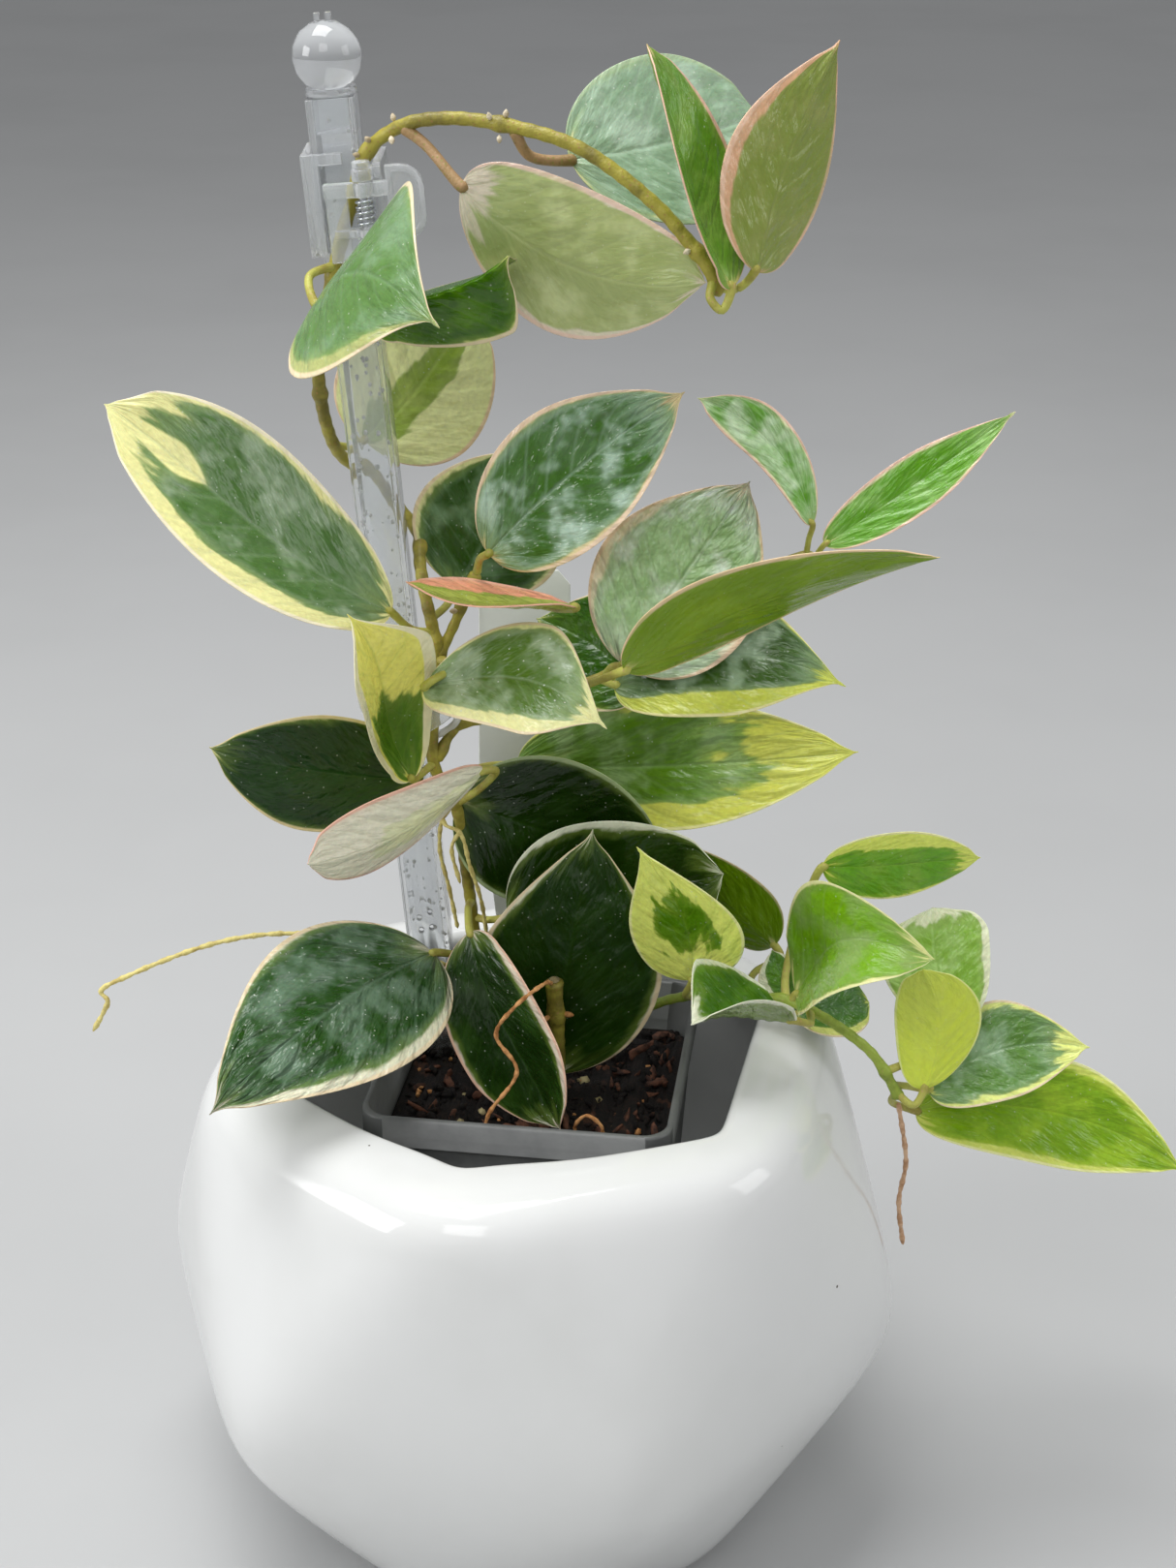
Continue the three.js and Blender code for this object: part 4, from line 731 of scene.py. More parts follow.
    ([-22, 2, 157], [-68, -60, 151], 42, [0.15, -0.63, 0.76], [[-12.4, 20, 148.4], [-14, 12, 150.4],
      [-17.4, 6, 154.4]],
     dict(arch=0.05, bend=0.03, fold=-3, widest=0.37),
     dict(heart="1f4c04", washes_and_sheen="8aa68e", wash_and_sheen=0.5, left=0.17, right=0.06, margin="f0eecf", pucker=1.0, flecks=0.6)),
    ([41.3, -1, 151], [27.1, -12, 192.8], 29, [-0.36, -0.93, 0], [[42, 14.8, 137.2], [40, 5, 143.6]],
     dict(bend=0.1, fold=6, widest=0.38, sharp=1.3),
     dict(heart="548606", washes_and_sheen="86a832", wash_and_sheen=0.3, left=0.5, right=0.45, tip=0.35, foot=0.27, margin="f0fa7c",
          edge="f2f4a8", ragged=0.6, halo="9cbc3a")),
    ([64.1, -18, 150], [39.8, -28.8, 155.4], 31, [0.2, 0.17, 0.97], [[70.4, -1.2, 142.4], [70, -8, 143.6],
      [68.6, -14.6, 147]],
     dict(arch=0.02, droop=0.04, bend=0.1, twist=-6, fold=39, widest=0.74, sharp=1.1),
     dict(heart="3c6c04", washes_and_sheen="7cab3a", left=0.15, right=0.12, margin="f6f8de", edge="f6f8de", tip=0.12)),
    ([66.8, 0, 146.6], [96.5, -21.2, 168.4], 34, [-0.78, -0.52, 0.34], [[66, 1.6, 143.5]],
     dict(arch=0.16, droop=0.16, bend=-0.19, twist=-6, fold=33, widest=0.44, sharp=0.55),
     dict(heart="80b80c", washes_and_sheen="a8bc84", wash_and_sheen=0.5, left=0.05, right=0.09, margin="f0f0a0", edge="f0eeb0")),
    ([73.6, 15, 174], [114.1, 23.8, 171.8], 20, [0.19, -0.97, -0.15], [[64.6, 2.2, 143.6], [65, 9, 147],
      [68.4, 14.6, 160]],
     dict(arch=0.04, droop=-0.02, bend=-0.02, twist=15, fold=3, widest=0.47, sharp=0.8),
     dict(heart="6aae10", washes_and_sheen="98c048", wash_and_sheen=0.5, left=0.45, right=0.07, tip=0.12, margin="f0fc74", edge="f2f2ac",
          halo="a8cf34", ragged=0.5)),
    ([108, 4, 135], [102, 18, 161], 28, [0, -0.95, 0.3], [[89.4, -5, 127.4], [97, -1, 128.4], [105, 2.6, 131]],
     dict(bend=-0.07, fold=5, widest=0.7, sharp=0.45),
     dict(heart="94c444", washes_and_sheen="cdee9c", wash_and_sheen=0.6, left=0.05, right=0.12, tip=0.12, margin="f4f8d2",
          edge="f4f8d2")),
    ([99, -6, 123], [97, -4, 156], 22, [-0.1, 0.99, 0], [[92.4, -5, 121], [96.4, -8.4, 119.8]],
     dict(arch=0.04, bend=-0.13, fold=8, widest=0.54, sharp=0.5),
     dict(heart="d8e84c", washes_and_sheen="dcea70", wash_and_sheen=0.5, left=0.1, right=0.1, margin="d4e450", edge="eaf09a",
          below="d2e24c", veins=0.15, halo="d8e85c")),
    ([101, 0, 119], [141, 2, 130], 25, [0, -0.82, 0.57], [[91.2, -5, 123.4], [95.6, -1, 120.6]],
     dict(bend=-0.12, fold=8, widest=0.48),
     dict(heart="5c8a30", washes_and_sheen="a8c8a0", wash_and_sheen=0.8, left=0.16, right=0.16, tip=0.16, margin="f2fa90", ragged=0.4)),
    ([99, 4, 110], [170, 6, 90], 28, [0, -0.8, 0.6], [[92.3, -4.8, 121], [92.4, 0.8, 114.6]],
     dict(bend=-0.1, fold=8, widest=0.5),
     dict(heart="7aa60e", washes_and_sheen="a8ca30", wash_and_sheen=0.6, left=0.18, right=0.14, margin="deea70", edge="f0f2ac",
          halo="b8d040")),
    ([67, 3, 139.2], [86, 7, 140.2], 18, [0, -0.5, 0.86], [[64.6, 2.2, 143.6], [64, 4.4, 140.2]],
     dict(fold=5, widest=0.6, sharp=0.45),
     dict(heart="4c8204", left=0.08, right=0.28, margin="e2e880")),
    ([66, 10, 140], [62, 16, 150], 12, [0, -1, 0.3], [[62, 4, 142.8], [65, 7.6, 140.2]],
     dict(fold=5),
     dict(heart="5c9018", left=0.35, right=0.35, margin="f0f4d2")),
    ([68, 20, 261], [41, 24, 290], 13, [0.19, -0.85, 0.48], [[67, 22.1, 252.2], [67.4, 21, 257]],
     dict(bend=0.14, fold=12, widest=0.65, sharp=0.8),
     dict(heart="64a814", washes_and_sheen="e0f6d0", wash_and_sheen=0.9, left=0.14, right=0.14, margin="f2ecb8", edge="f4cdb6",
          rim=0.07)),
    ([71, 20, 256], [115, 30, 285], 14, [0.1, -0.85, 0.5], [[69.4, 22, 252.6]],
     dict(bend=0.01, fold=12, widest=0.43, sharp=1.1),
     dict(heart="64a814", washes_and_sheen="a8d47c", wash_and_sheen=0.6, left=0.14, right=0.12, margin="f2ecb8", edge="f4cdb6",
          rim=0.07)),
]
print("leaves:", len(LEAVES))

# %% Build the leaves
THICK_STALKED = {1, 4}
THICK_STALK, USUAL_STALK, THIN_STALK, NARROW_LEAF = 1.25, 1.0, 0.75, 20
for number, (base, tip, width, face, stalk, shape, look) in enumerate(LEAVES, 1):
    node = f"leaf_{number:02d}"
    wax = leaf_finish(f"wax_{number:02d}", number * 3.7, **look)
    puffed = 0.08 + 0.16 * look.get("pucker", USUAL_PUCKER)
    thick = THICK_STALK if number in THICK_STALKED else THIN_STALK if width < NARROW_LEAF else USUAL_STALK
    parts = [blade(base, tip, width, face, **shape, pucker=puffed, seed=number), petiole(stalk, base, tip, thick)]
    piece(f"hoya_{node}", parts, [wax, WARM_PETIOLE if number in THICK_STALKED else PETIOLE], [node])

# %% [markdown]
# ## Stems and roots
# The main vine leans on the stake, turns round the clip and arches over to the right. Hoya stems swell
# a little at each node, where leaves and short pegs of roots grow. So the tube's radius is a number plus
# a small bump at each node, and the pegs are short tubes of their own.

# %% Vines
MAIN_VINE = [
    [-12, 21, 108], [-12.4, 20, 146.6], [-14.6, 17, 174.3], [-16.4, 13, 192.2], [-21, 10, 203.9],
    [-21, 12, 215.6], [-19.4, 11, 231], [-22.2, 15, 245.4], [-23.6, 20, 251.6], [-24.4, 28.4, 255.6],
    [-28.8, 32.6, 260.6], [-34.5, 33, 268.6], [-40.4, 30, 273], [-43.4, 24, 280.3], [-44.6, 16, 299.2],
    [-39.5, 13, 322.7], [-35.5, 13, 335.9], [-31.7, 12.9, 347], [-23.8, 10, 353.2], [-14.6, 8, 355.1],
    [-2.5, 5, 354.4], [13.6, 1, 350.4], [29.6, -3, 339.6], [36.2, -4, 332.7], [41.2, -5, 326.4], [43.8, -5, 320.4],
]
MIDDLE_SHOOT = [[-19.4, 11, 231], [-15.1, 13.5, 239.5], [-12.7, 14.5, 245.8], [-9.8, 15.2, 251.2]]
RIGHT_SHOOT = [
    [-20.6, 10, 204.6], [-15.9, 14, 211.7], [-9, 16, 213.4], [3.7, 18, 215.6], [15.3, 18, 221.6],
    [32.6, 20, 229.8], [48.6, 22, 241.3], [62.3, 22, 251], [69.5, 22, 252.5],
]
TRAILING_VINE = [
    [13, 20, 108], [16, 19.6, 118.5], [24, 18, 126.4], [33.8, 18, 133.4], [48.2, 12, 139.6], [58.7, 6, 142],
    [64.8, 2, 143.6], [73.5, -3, 141.8], [80.7, -5, 137.4], [86.2, -5, 132], [92.3, -5, 121.3], [93, -5, 119.4],
]


def stem(points, radius, nodes, swell=0.45, finish=0):
    """A tube whose radius grows by swell within about 1.6 mm of each node. Nodes are shares of its length."""

    def size(distance, length):
        away = distance[:, None] - np.array(nodes)[None, :] * length
        return radius + swell * np.exp(-((away / 1.6) ** 2)).sum(1) + 0.06 * np.sin(distance * 1.7)

    return tube(points, size, step=0.5, sides=18, finish=finish)


PEG_RADIUS = 0.7
PEGS = [
    ([-1.5, 4.6, 355.6], [0.1, -0.2, 1], 2.0), ([-4.6, 4.2, 355.4], [-0.3, -0.4, 1], 1.8),
    ([-2.8, 3.6, 352.4], [0, -0.5, -1], 1.7), ([-33, 12, 346.6], [-1, -0.8, 0.4], 1.8),
    ([-30.6, 11.4, 349.6], [-0.6, -0.8, 0.8], 2.0), ([-26, 9.4, 351.2], [0.2, -1, -0.8], 2.2),
    ([-25.4, 11.4, 353.8], [-0.2, 0.2, 1], 1.8), ([37.4, -5.4, 330.4], [-0.8, -0.6, -0.3], 2.0),
    ([-11.4, 13.2, 248.6], [-0.9, -0.5, 0.5], 2.4), ([-14.6, 11.8, 242.6], [-0.8, -0.6, 0.2], 2.2),
]


def peg(place, towards, length, finish=2):
    """A short dry root peg on a stem."""
    place, towards = np.array(place, float), unit(towards)
    return tube([place, place + towards * length * 0.6, place + towards * length], PEG_RADIUS, 0.3, 10, finish)


piece("vine_climbing", [
    stem(MAIN_VINE, 1.45, [0.1, 0.24, 0.36, 0.43, 0.5, 0.58, 0.66, 0.74, 0.83, 0.97]),
    stem(MIDDLE_SHOOT, 1.2, [0.05, 0.6, 0.92]), stem(RIGHT_SHOOT, 1.2, [0.03, 0.4, 0.62, 0.97]),
    *(peg(*row) for row in PEGS),
], [STEM, YOUNG_STEM, ROOT_PEG], ["climbing_vine"])
piece("vine_trailing", [stem(TRAILING_VINE, 1.25, [0.55, 0.62, 0.92, 0.99])], [YOUNG_STEM], ["trailing_vine"])
print("pegs on the vine:", len(PEGS))

# %% Stump and roots
STUMP = [[8, -1, 108], [8.1, -2.6, 135.7], [7.5, -4.6, 153.4]]
STUMP_ROOT = [
    [7, -5.6, 152.8], [5.4, -14, 157.6], [-1.4, -22, 156], [-6, -21.6, 148], [-1.1, -24, 139.5], [-8, -27, 129],
    [-9.5, -28, 121],
]
LEFT_ROOT = [
    [-14.2, 18, 144.3], [-18, 12, 147.5], [-34, 10, 154.4], [-55.6, 8, 159.1], [-74, 6, 158], [-97.2, 4, 149.6],
    [-104.5, 3, 145.5], [-102.8, 2, 143.6], [-104.1, 2, 140.2], [-107.2, 2, 134.7],
]
STAKE_ROOTS = [
    [[-17.6, 13.3, 190.6], [-19.5, 13.6, 188], [-20.6, 15, 179], [-18.6, 15.4, 168], [-16.8, 16.4, 156]],
    [[-19.5, 13.6, 188], [-18.6, 10.8, 187.4], [-15.4, 10, 186], [-13, 11, 176], [-10.6, 12.6, 166], [-9.4, 15.4, 154]],
    [[-15.4, 10, 186], [-17.4, 11.4, 181], [-15.6, 11.8, 171]],
]
HANGING_ROOT = [[93, -5, 118.4], [93.6, -5, 115], [95.9, -5, 100.6], [94.8, -5, 88.8], [96.6, -5, 75.3]]


def root(points, radius=0.6, finish=0):
    """A root's thickness wanders: two sine waves of the distance along it."""

    def size(distance, length):
        return radius * (1 + 0.16 * np.sin(distance * 1.1) + 0.1 * np.sin(distance * 2.9 + 1))

    return tube(points, size, step=0.4, sides=10, finish=finish)


piece("stump", [
    stem(STUMP, 2.0, [0.74, 0.78, 0.97], 0.35), peg([9.6, -3.4, 143], [1, -0.6, 0.2], 3.2, 1),
    peg([6.4, -4.6, 143], [-0.9, -1.3, 0], 4.6, 1),
    tube([[7.5, -4.6, 152.6], [7.5, -4.7, 153.4], [7.4, -4.8, 154]], 2.05, 1.9, 16, 2),
    root(STUMP_ROOT, 0.48, 1),
], [STEM, ROOT_TAN, PALE_CHUNKS], ["cut_stump"])
piece("root_left", [root(LEFT_ROOT, 0.62)], [ROOT_CREAM], ["left_root"])
piece("roots_on_stake", [root(path, 0.5) for path in STAKE_ROOTS], [ROOT_CREAM], ["stake_roots"])
piece("root_hanging", [root(HANGING_ROOT, 0.6)], [ROOT_PINK], ["hanging_root"])
print("root length in mm:", round(float(spline(LEFT_ROOT, 1)[1][-1])))

# %% [markdown]
# ## The cachepot
# The glazed pot is a polyhedron with soft corners. Its skin is how far one can go from a point at its
# heart before meeting one of the flat faces, taken as a soft minimum over all faces, so that the corners
# round off. The same idea gives the six-sided mouth.

# %% Cachepot
HEART_HEIGHT, POT_TURN, POT_HEIGHT, POT_WALL = 62.0, -12.9, 135.4, 6.0
WIDEST_RING, TOP_RING, FOOT_RING = (102, 62.3), (82, 137), (62, -2)
FOOT_SUNK = 0.8
POT_POWER, MOUTH_POWER, MOUTH_RADIUS = 22, 30, 63.3
FRONT_BLUNT, FRONT_HALF_ANGLE = 4.5, np.radians(20)
LIP_HALF = POT_WALL / 2
POT_COLUMNS, OUTSIDE_ROWS, INSIDE_ROWS, LIP_ROWS = 240, 90, 60, 12


def pot_faces():
    """Normals and distances from the heart of the 24 side faces, the top and the bottom. A ring of six
    corners is its radius and its height."""

    def corner(ring, degrees):
        radius, height = ring
        angle = np.radians(POT_TURN + degrees)
        return np.array([radius * np.sin(angle), -radius * np.cos(angle), height - HEART_HEIGHT])

    normals, distances = [], []
    for turn in range(0, 360, 60):
        left, right = corner(WIDEST_RING, turn - 30), corner(WIDEST_RING, turn + 30)
        for ring in (TOP_RING, FOOT_RING):
            near, following = corner(ring, turn), corner(ring, turn + 60)
            for a, b, c in ((left, right, near), (near, following, right)):
                normal = unit(np.cross(b - a, c - a))
                distance = normal @ a
                normals.append(normal * np.sign(distance))
                distances.append(abs(distance))
    normals += [[0, 0, 1], [0, 0, -1]]
    distances += [POT_HEIGHT - HEART_HEIGHT, HEART_HEIGHT + FOOT_SUNK]
    return np.array(normals), np.array(distances)


POT_NORMALS, POT_DISTANCES = pot_faces()


def pot_skin(angle, elevation, inset, lowest):
    """Points of the rounded polyhedron: one over the p-norm of (direction . normal) / distance, where p
    is POT_POWER. The higher p is, the sharper are the corners."""
    direction = np.stack([np.cos(elevation) * np.sin(angle), -np.cos(elevation) * np.cos(angle),
                          np.sin(elevation) + 0 * angle], -1)
    share = np.maximum(0, direction @ POT_NORMALS.T) / (POT_DISTANCES - inset)
    away = (share**POT_POWER).sum(-1) ** (-1 / POT_POWER)
    points = direction * away[..., None]
    points[..., 2] = np.maximum(points[..., 2] + HEART_HEIGHT, lowest)
    return points


def mouth_radius(angle):
    """The rounded hexagon of the mouth: one over the p-norm of the cosines over the apothem, where p is
    MOUTH_POWER. A bell curve of the angle off the front corner makes that corner blunter than the others."""
    turns = np.radians(POT_TURN + 30 + np.arange(0, 360, 60))
    share = np.maximum(0, np.cos(angle[..., None] - turns)) / (MOUTH_RADIUS * np.cos(np.pi / 6))
    off = (angle - np.radians(POT_TURN) + np.pi) % (2 * np.pi) - np.pi
    blunt = FRONT_BLUNT * np.exp(-((off / FRONT_HALF_ANGLE) ** 2))
    return (share**MOUTH_POWER).sum(-1) ** (-1 / MOUTH_POWER) - blunt


angle = np.radians(POT_TURN) + 2 * np.pi * np.arange(POT_COLUMNS)[None, :] / POT_COLUMNS
rise = POT_HEIGHT - HEART_HEIGHT
wide = mouth_radius(angle) + LIP_HALF
top, below = np.arctan2(rise, wide), np.arctan2(rise - POT_WALL, wide)
up, down = np.linspace(0.02, 1, OUTSIDE_ROWS)[:, None], np.linspace(0, 0.98, INSIDE_ROWS)[:, None]
outside = pot_skin(angle + 0 * up, -np.pi / 2 + up * (top + np.pi / 2), 0, 0)
inside = pot_skin(angle + 0 * down, below - down * (below + np.pi / 2), POT_WALL, POT_WALL)
turn = np.linspace(0, np.pi, LIP_ROWS + 2)[1:-1, None, None]
outward = np.stack([np.sin(angle), -np.cos(angle), 0 * angle], -1)
lip = outside[-1:] + (inside[:1] - outside[-1:]) * (1 - np.cos(turn)) / 2 - LIP_HALF * np.sin(turn) * outward
piece("pot_glazed", [skin(np.concatenate([outside, lip, inside]))], [GLAZE], ["cachepot"])
print("cachepot width in mm:", round(float(np.ptp(outside[..., 0])), 1))

# %% [markdown]
# ## The nursery pot and the mix
# The nursery pot is a square ring with round corners, carried up a profile: the floor, the tapered wall,
# the rolled rim and back down inside. The mix is a field of heights over the same square, with loose
# bits of bark and pale chunks pressed into it.

# %% Nursery pot
NURSERY_TURN, NURSERY_PLACE = np.radians(-8), np.array([3.2, 1.6, 0])
FLOOR_HEIGHT, RIM_FOOT, FOOT_HALF, WALL_WIDENS, RIM_HALF, WALL = 7.6, 123, 28.6, 7.5, 37.3, 1


def in_nursery(points):
    """From the nursery pot's own square to the place where it stands."""
    c, s = np.cos(NURSERY_TURN), np.sin(NURSERY_TURN)
    return points @ np.array([[c, s, 0], [-s, c, 0], [0, 0, 1]]) + NURSERY_PLACE


def rounded_square(half, corner, height, count=25):
    """Four quarter circles of the corner's radius, joined by straight sides."""
    angle = np.linspace(0, 2 * np.pi, 4 * count, endpoint=False) + 0.5 * np.pi / (4 * count)
    quarter = np.floor(angle / (np.pi / 2))
    middle = (quarter + 0.5) * np.pi / 2
    local = angle - quarter * np.pi / 2 - np.pi / 4
    local = np.clip(local * 1.6, -np.pi / 4, np.pi / 4) + middle
    x = np.sign(np.cos(middle)) * (half - corner) + corner * np.cos(local)
    y = np.sign(np.sin(middle)) * (half - corner) + corner * np.sin(local)
    return np.stack([x, y, x * 0 + height], 1)


def nursery_half(height):
    """Half the outer width of the tapered wall."""
    return FOOT_HALF + WALL_WIDENS * (height - FLOOR_HEIGHT) / (RIM_FOOT - FLOOR_HEIGHT)


rim = [(36.1, 122.6), (36.9, 122.7), (RIM_HALF, 123.2), (RIM_HALF, 126), (RIM_HALF, 130.2), (37.1, 130.8),
       (36.6, 131), (36.0, 130.8), (35.8, 130.2)]
profile = [(26.6, FLOOR_HEIGHT), (28.4, 8.4), *((nursery_half(z), z) for z in (10, 60)), *rim,
           *((nursery_half(z) - WALL, z) for z in (120, 60, 12)), (26, 8.6)]
rings = [rounded_square(half, 6 if height > 20 else 4.5, height) for half, height in profile]
piece("pot_nursery", [skin(in_nursery(np.array(rings)))], [NURSERY], ["nursery_pot"])
print("nursery rim in mm:", 2 * RIM_HALF)

# %% Potting mix
random = np.random.default_rng(7)
MIX_LEVEL, MIX_ROLL = 117.2, 0.9
LUMPS = ((0.9, 0.3, 0.5), (1.4, 1.9, 0.45), (2.1, 2.8, 0.35), (2.9, 0.9, 0.3), (4.1, 2.2, 0.22), (5.3, 1.3, 0.18),
         (6.7, 0.1, 0.15))


def mix_height(x, y):
    """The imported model's low waves, with finer lumps on top. Each row of LUMPS is one more wave: its
    waves per mm times two pi, its heading and its height."""
    roll = np.sin(0.31 * x + 1.1) * np.cos(0.27 * y - 0.4) + 0.6 * np.sin(0.62 * y + 0.33 * x)
    height = MIX_LEVEL + MIX_ROLL * roll
    for pace, heading, size in LUMPS:
        ahead = x * np.cos(heading) + y * np.sin(heading)
        aside = y * np.cos(heading) - x * np.sin(heading)
        height = height + size * np.sin(pace * ahead + 3 * pace) * np.cos(pace * 0.8 * aside)
    return height


full = nursery_half(117) - 1.35
shares = np.linspace(1, 0.01, 90)
surface = np.array([rounded_square(full * share, 4 * share, 0) for share in shares])
surface[..., 2] = mix_height(surface[..., 0], surface[..., 1])
surface[:2, :, 2] -= np.array([[1.2], [0.4]])
walls = np.array([rounded_square(nursery_half(z) - 1.4 - inset, corner, z)
                  for z, inset, corner in ((9, 3, 2.5), (13, 0, 2.5), (60, 0, 4))])
piece("mix", [skin(in_nursery(np.concatenate([walls, surface])))], [MIX], ["potting_mix"])


def ball(around, cap):
    """Five rows of points on a ball of radius 1, at p from the top and a round it: sin p cos a, sin p sin a,
    cos p. The first and last rows lie cap radians from the two poles."""
    p, a = np.meshgrid(np.linspace(cap, np.pi - cap, 5), 2 * np.pi * np.arange(around) / around, indexing="ij")
    return np.stack([np.sin(p) * np.cos(a), np.sin(p) * np.sin(a), np.cos(p)], -1)


BIT_LIFT = 0.2


def bits(count, size, flat, finish, spread=0.93):
    """Loose bits: one ball of 5 by 7 points, made lumpy, stretched, turned and moved to many places at once."""
    x, y = random.uniform(-full * spread, full * spread, (2, count))
    place = np.stack([x, y, mix_height(x, y) + BIT_LIFT], 1)
    basis = np.linalg.qr(random.normal(size=(count, 3, 3)))[0]
    stretch = size * random.uniform(0.5, 1.4, (count, 1)) * np.array([flat]) * random.uniform(0.7, 1.3, (count, 3))
    lumps = 1 + 0.35 * random.uniform(-1, 1, (count, 5, 7, 1))
    shaped = np.einsum("nrca,nba->nrcb", ball(7, 0.35) * lumps * stretch[:, None, None], basis)
    return [skin(in_nursery(one + at), finish) for one, at in zip(shaped, place)]


loose = [*bits(420, 1.4, (1, 0.6, 0.4), 0), *bits(120, 1.9, (1.4, 0.5, 0.35), 1),
         *bits(24, 1.8, (1, 0.8, 0.7), 2, 0.9), *bits(30, 0.7, (1, 0.8, 0.7), 3)]
piece("mix_bits", loose, [MIX, BARK, PALE_CHUNKS, ROOT_TAN])
DRY_ROOTS = [
    [[-24, -26, 118.4], [-20, -29, 119.6], [-16, -28.5, 118.8], [-11, -31, 119.4], [-8, -30, 118.4]],
    [[14, -22, 118.6], [12.6, -23, 123], [15.6, -25, 127.6], [19, -25.6, 125], [19.6, -25, 120.4], [24, -27, 118.8],
     [28, -31, 119.2], [31, -32, 118.2]],
    [[18, -30, 118.2], [24, -29, 120], [29, -25, 119.4], [33, -21, 118.6]],
    [[-12, -29.6, 120.4], [-6, -31, 119], [0, -30.4, 119.6], [6, -32, 118.6]],
]
piece("mix_roots", [root(path, 0.45) for path in DRY_ROOTS], [ROOT_TAN])
print("loose bits:", len(loose))

# %% [markdown]
# ## The stake, its clip and the label
# These are moulded parts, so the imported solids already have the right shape. What they lack is the small
# radius that every moulded edge has. A merged copy of each solid gets that radius from a Bevel modifier,
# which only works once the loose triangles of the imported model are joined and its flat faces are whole.

# %% Moulded copies


def moulded(name, node, radius, finish, body=BODY, angle=35):
    """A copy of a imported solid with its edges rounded."""
    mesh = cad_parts[node].data.copy()
    mesh.name = name
    work = bmesh.new()
    work.from_mesh(mesh)
    bmesh.ops.remove_doubles(work, verts=work.verts, dist=1e-5)
    bmesh.ops.dissolve_limit(work, angle_limit=np.radians(2), verts=work.verts, edges=work.edges)
    work.to_mesh(mesh)
    work.free()
    mesh.materials.clear()
    mesh.materials.append(finish)
    mesh.polygons.foreach_set("use_smooth", np.ones(len(mesh.polygons), bool))
    made = bpy.data.objects.new(name, mesh)
    bpy.context.scene.collection.objects.link(made)
    rounding = made.modifiers.new("moulded edge", "BEVEL")
    rounding.width, rounding.segments = radius * MM, 3
    rounding.limit_method, rounding.angle_limit = "ANGLE", np.radians(angle)
    rounding.use_clamp_overlap = True
    rounding.harden_normals = True
    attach(made, body)
    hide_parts(node)
    return made


moulded("stake_tube", "stake", 0.35, CLEAR)
moulded("stake_finial", "stake_ball", 0.15, CLEAR, angle=50)
moulded("clip_fixed_jaw", "clip_jaw", 0.4, CLIP)
moulded("clip_moving_lever", "clip_lever", 0.35, CLIP, "clip_lever")
moulded("band_round_vine", "vine_band", 0.3, CLIP, angle=50)
moulded("label_plate", "plant_label", 0.25, LABEL)

# %% Rim and bar of the band
# The rim and the bar are thin tubes in the whitish glint finish, laid over the clear band: painted highlights along its
# edges.
BAND_RIM = [[-31, 17, 225.5], [-33.8, 18, 226.3], [-36.3, 18, 226.2], [-38.3, 18, 223.9], [-39.1, 18, 220.1],
            [-38.8, 18, 216.3], [-37.3, 18, 213.3], [-34.5, 17.5, 211], [-31, 17, 210]]
BAND_BAR = [[-26, 14, 210.8], [-21.5, 13.4, 210.2], [-18.5, 13.2, 211.2], [-15.9, 13.6, 213.3], [-14.9, 14, 215.6]]
piece("band_edge_highlight", [tube(BAND_RIM, 0.6, 0.4), tube(BAND_BAR, 0.9, 0.4)], [DROPLET_GLINT])
print("band rim and bar:", len(BAND_RIM) + len(BAND_BAR), "points")

# %% Spring and droplets
STAKE_FOOT, STAKE_LEAN, STAKE_INNER, DROPLETS = np.array([-17.2, 26.2, 50]), [-18.3, -5, 254], 3.85, 260
COIL_X, COIL_Y, COIL_START, COIL_LENGTH = 6, -13, 286.8 - 3.6, 5.8
COIL_TURNS, COIL_RADIUS, COIL_WIRE = 5, 1.85, 0.3


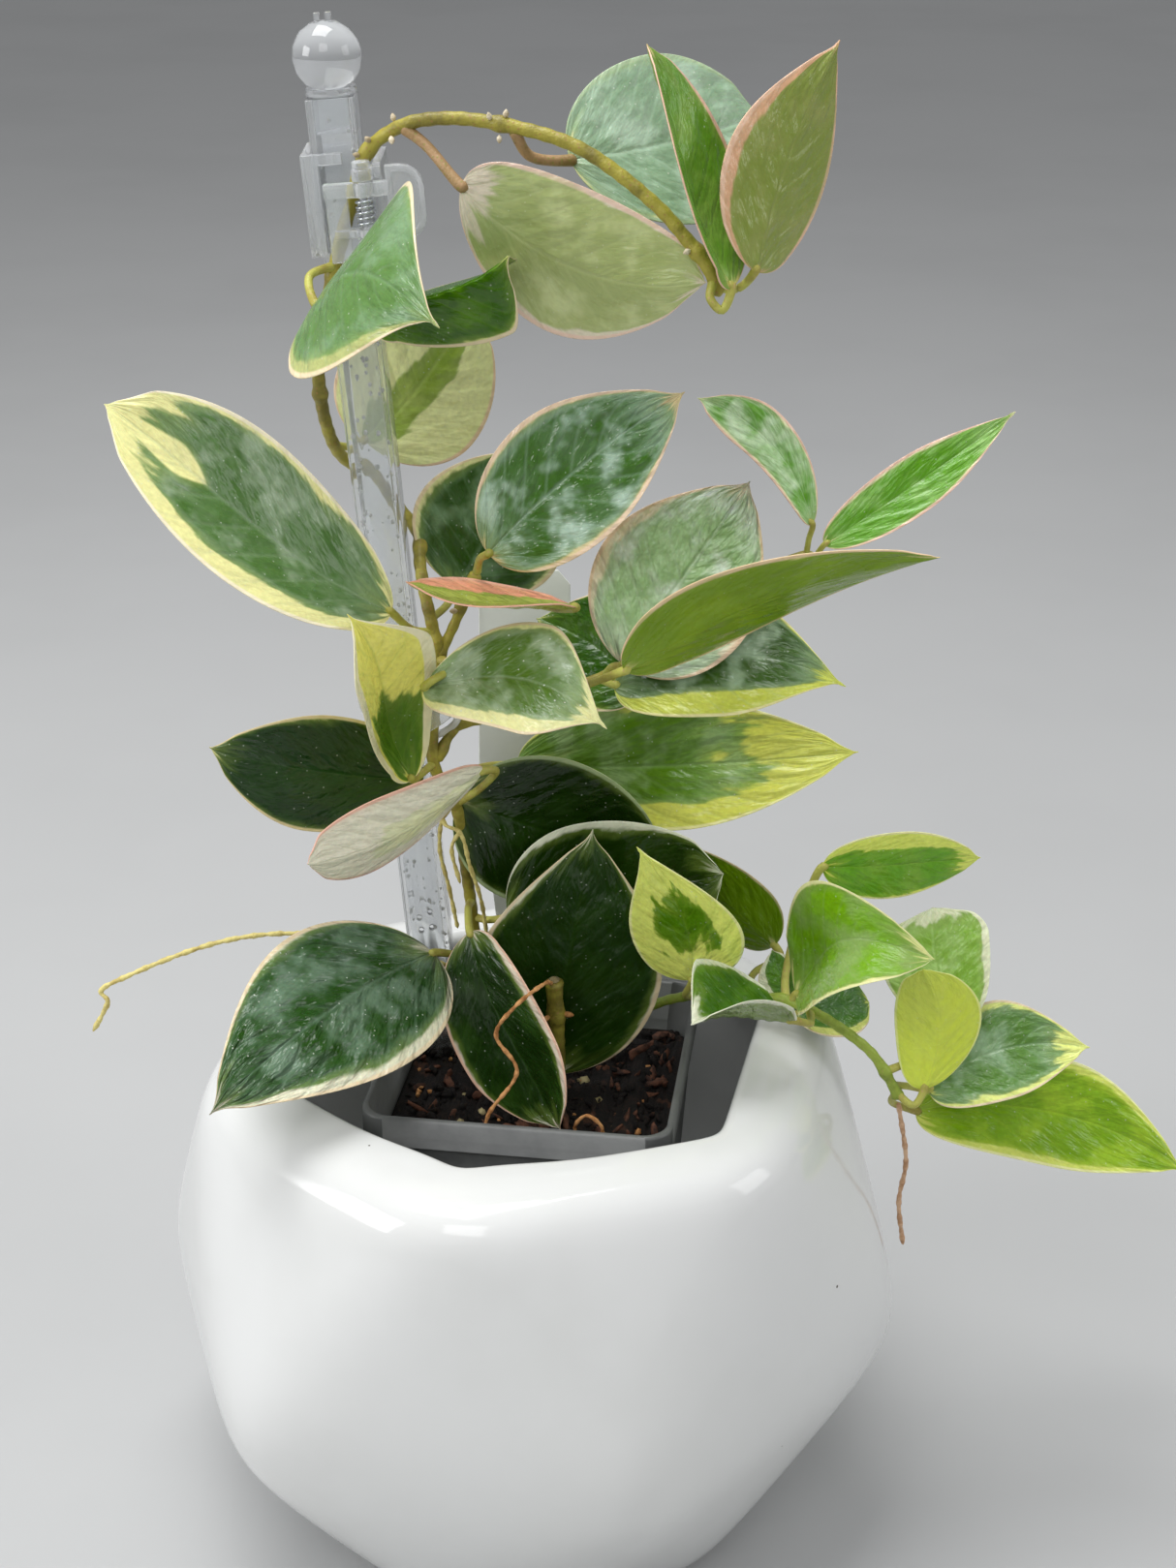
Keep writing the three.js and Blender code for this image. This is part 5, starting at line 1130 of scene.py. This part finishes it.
def on_stake(points):
    """From the stake's own directions, right, back and up from its foot, to the place where it leans."""
    up = unit(STAKE_LEAN)
    right = unit(np.array([1, 0, 0]) - up[0] * up)
    return np.asarray(points, float) @ np.stack([right, np.cross(up, right), up]) + STAKE_FOOT


part = np.linspace(0, 1, 120)
coil = 2 * np.pi * COIL_TURNS * part
helix = np.stack([COIL_X + COIL_RADIUS * np.cos(coil), COIL_Y + COIL_RADIUS * np.sin(coil),
                  COIL_START + COIL_LENGTH * part], 1)
piece("clip_coil", [tube(on_stake(helix), COIL_WIRE, 0.2, 10)], [STEEL], ["clip_spring"])


def droplets(count):
    """Flat drops on the tube's four inner walls, each a slightly tall ball of 5 by 8 points."""
    wall = random.integers(0, 4, count)
    along, height = random.uniform(-3.4, 3.4, count), random.uniform(90, 306, count)
    x = np.choose(wall, [along, along, -STAKE_INNER, STAKE_INNER])
    y = np.choose(wall, [-STAKE_INNER, STAKE_INNER, along, along])
    size = random.uniform(0.15, 0.6, count)
    shaped = ball(8, 0.3) * size[:, None, None, None] * np.array([1, 1, 1.15])
    places = np.stack([x, y, height], 1)
    return [skin(on_stake(one + at)) for one, at in zip(shaped, places)]


# The drops' nearly white finish is a painted glint on each drop.
piece("stake_droplets", droplets(DROPLETS), [DROPLET_GLINT])
print("coil turns:", COIL_TURNS, "droplets:", DROPLETS)

# %% [markdown]
# ## Floor
# The floor only catches the shadow.

# %% Floor
HALF_FLOOR = 6
floor_mesh = bpy.data.meshes.new("floor")
corners = [(x * HALF_FLOOR, y * HALF_FLOOR, 0) for x, y in ((-1, -1), (1, -1), (1, 1), (-1, 1))]
floor_mesh.from_pydata(corners, [], [(0, 1, 2, 3)])
floor = bpy.data.objects.new("floor", floor_mesh)
bpy.context.scene.collection.objects.link(floor)
FLOOR, floor_graph, floor_sockets = principled("floor", Roughness=0.75)
feed(floor_graph, mottled(floor_graph, "bcbdbd", "b6b7b7", 3.0, 0.6), floor_sockets["Base Color"])
floor_mesh.materials.append(FLOOR)
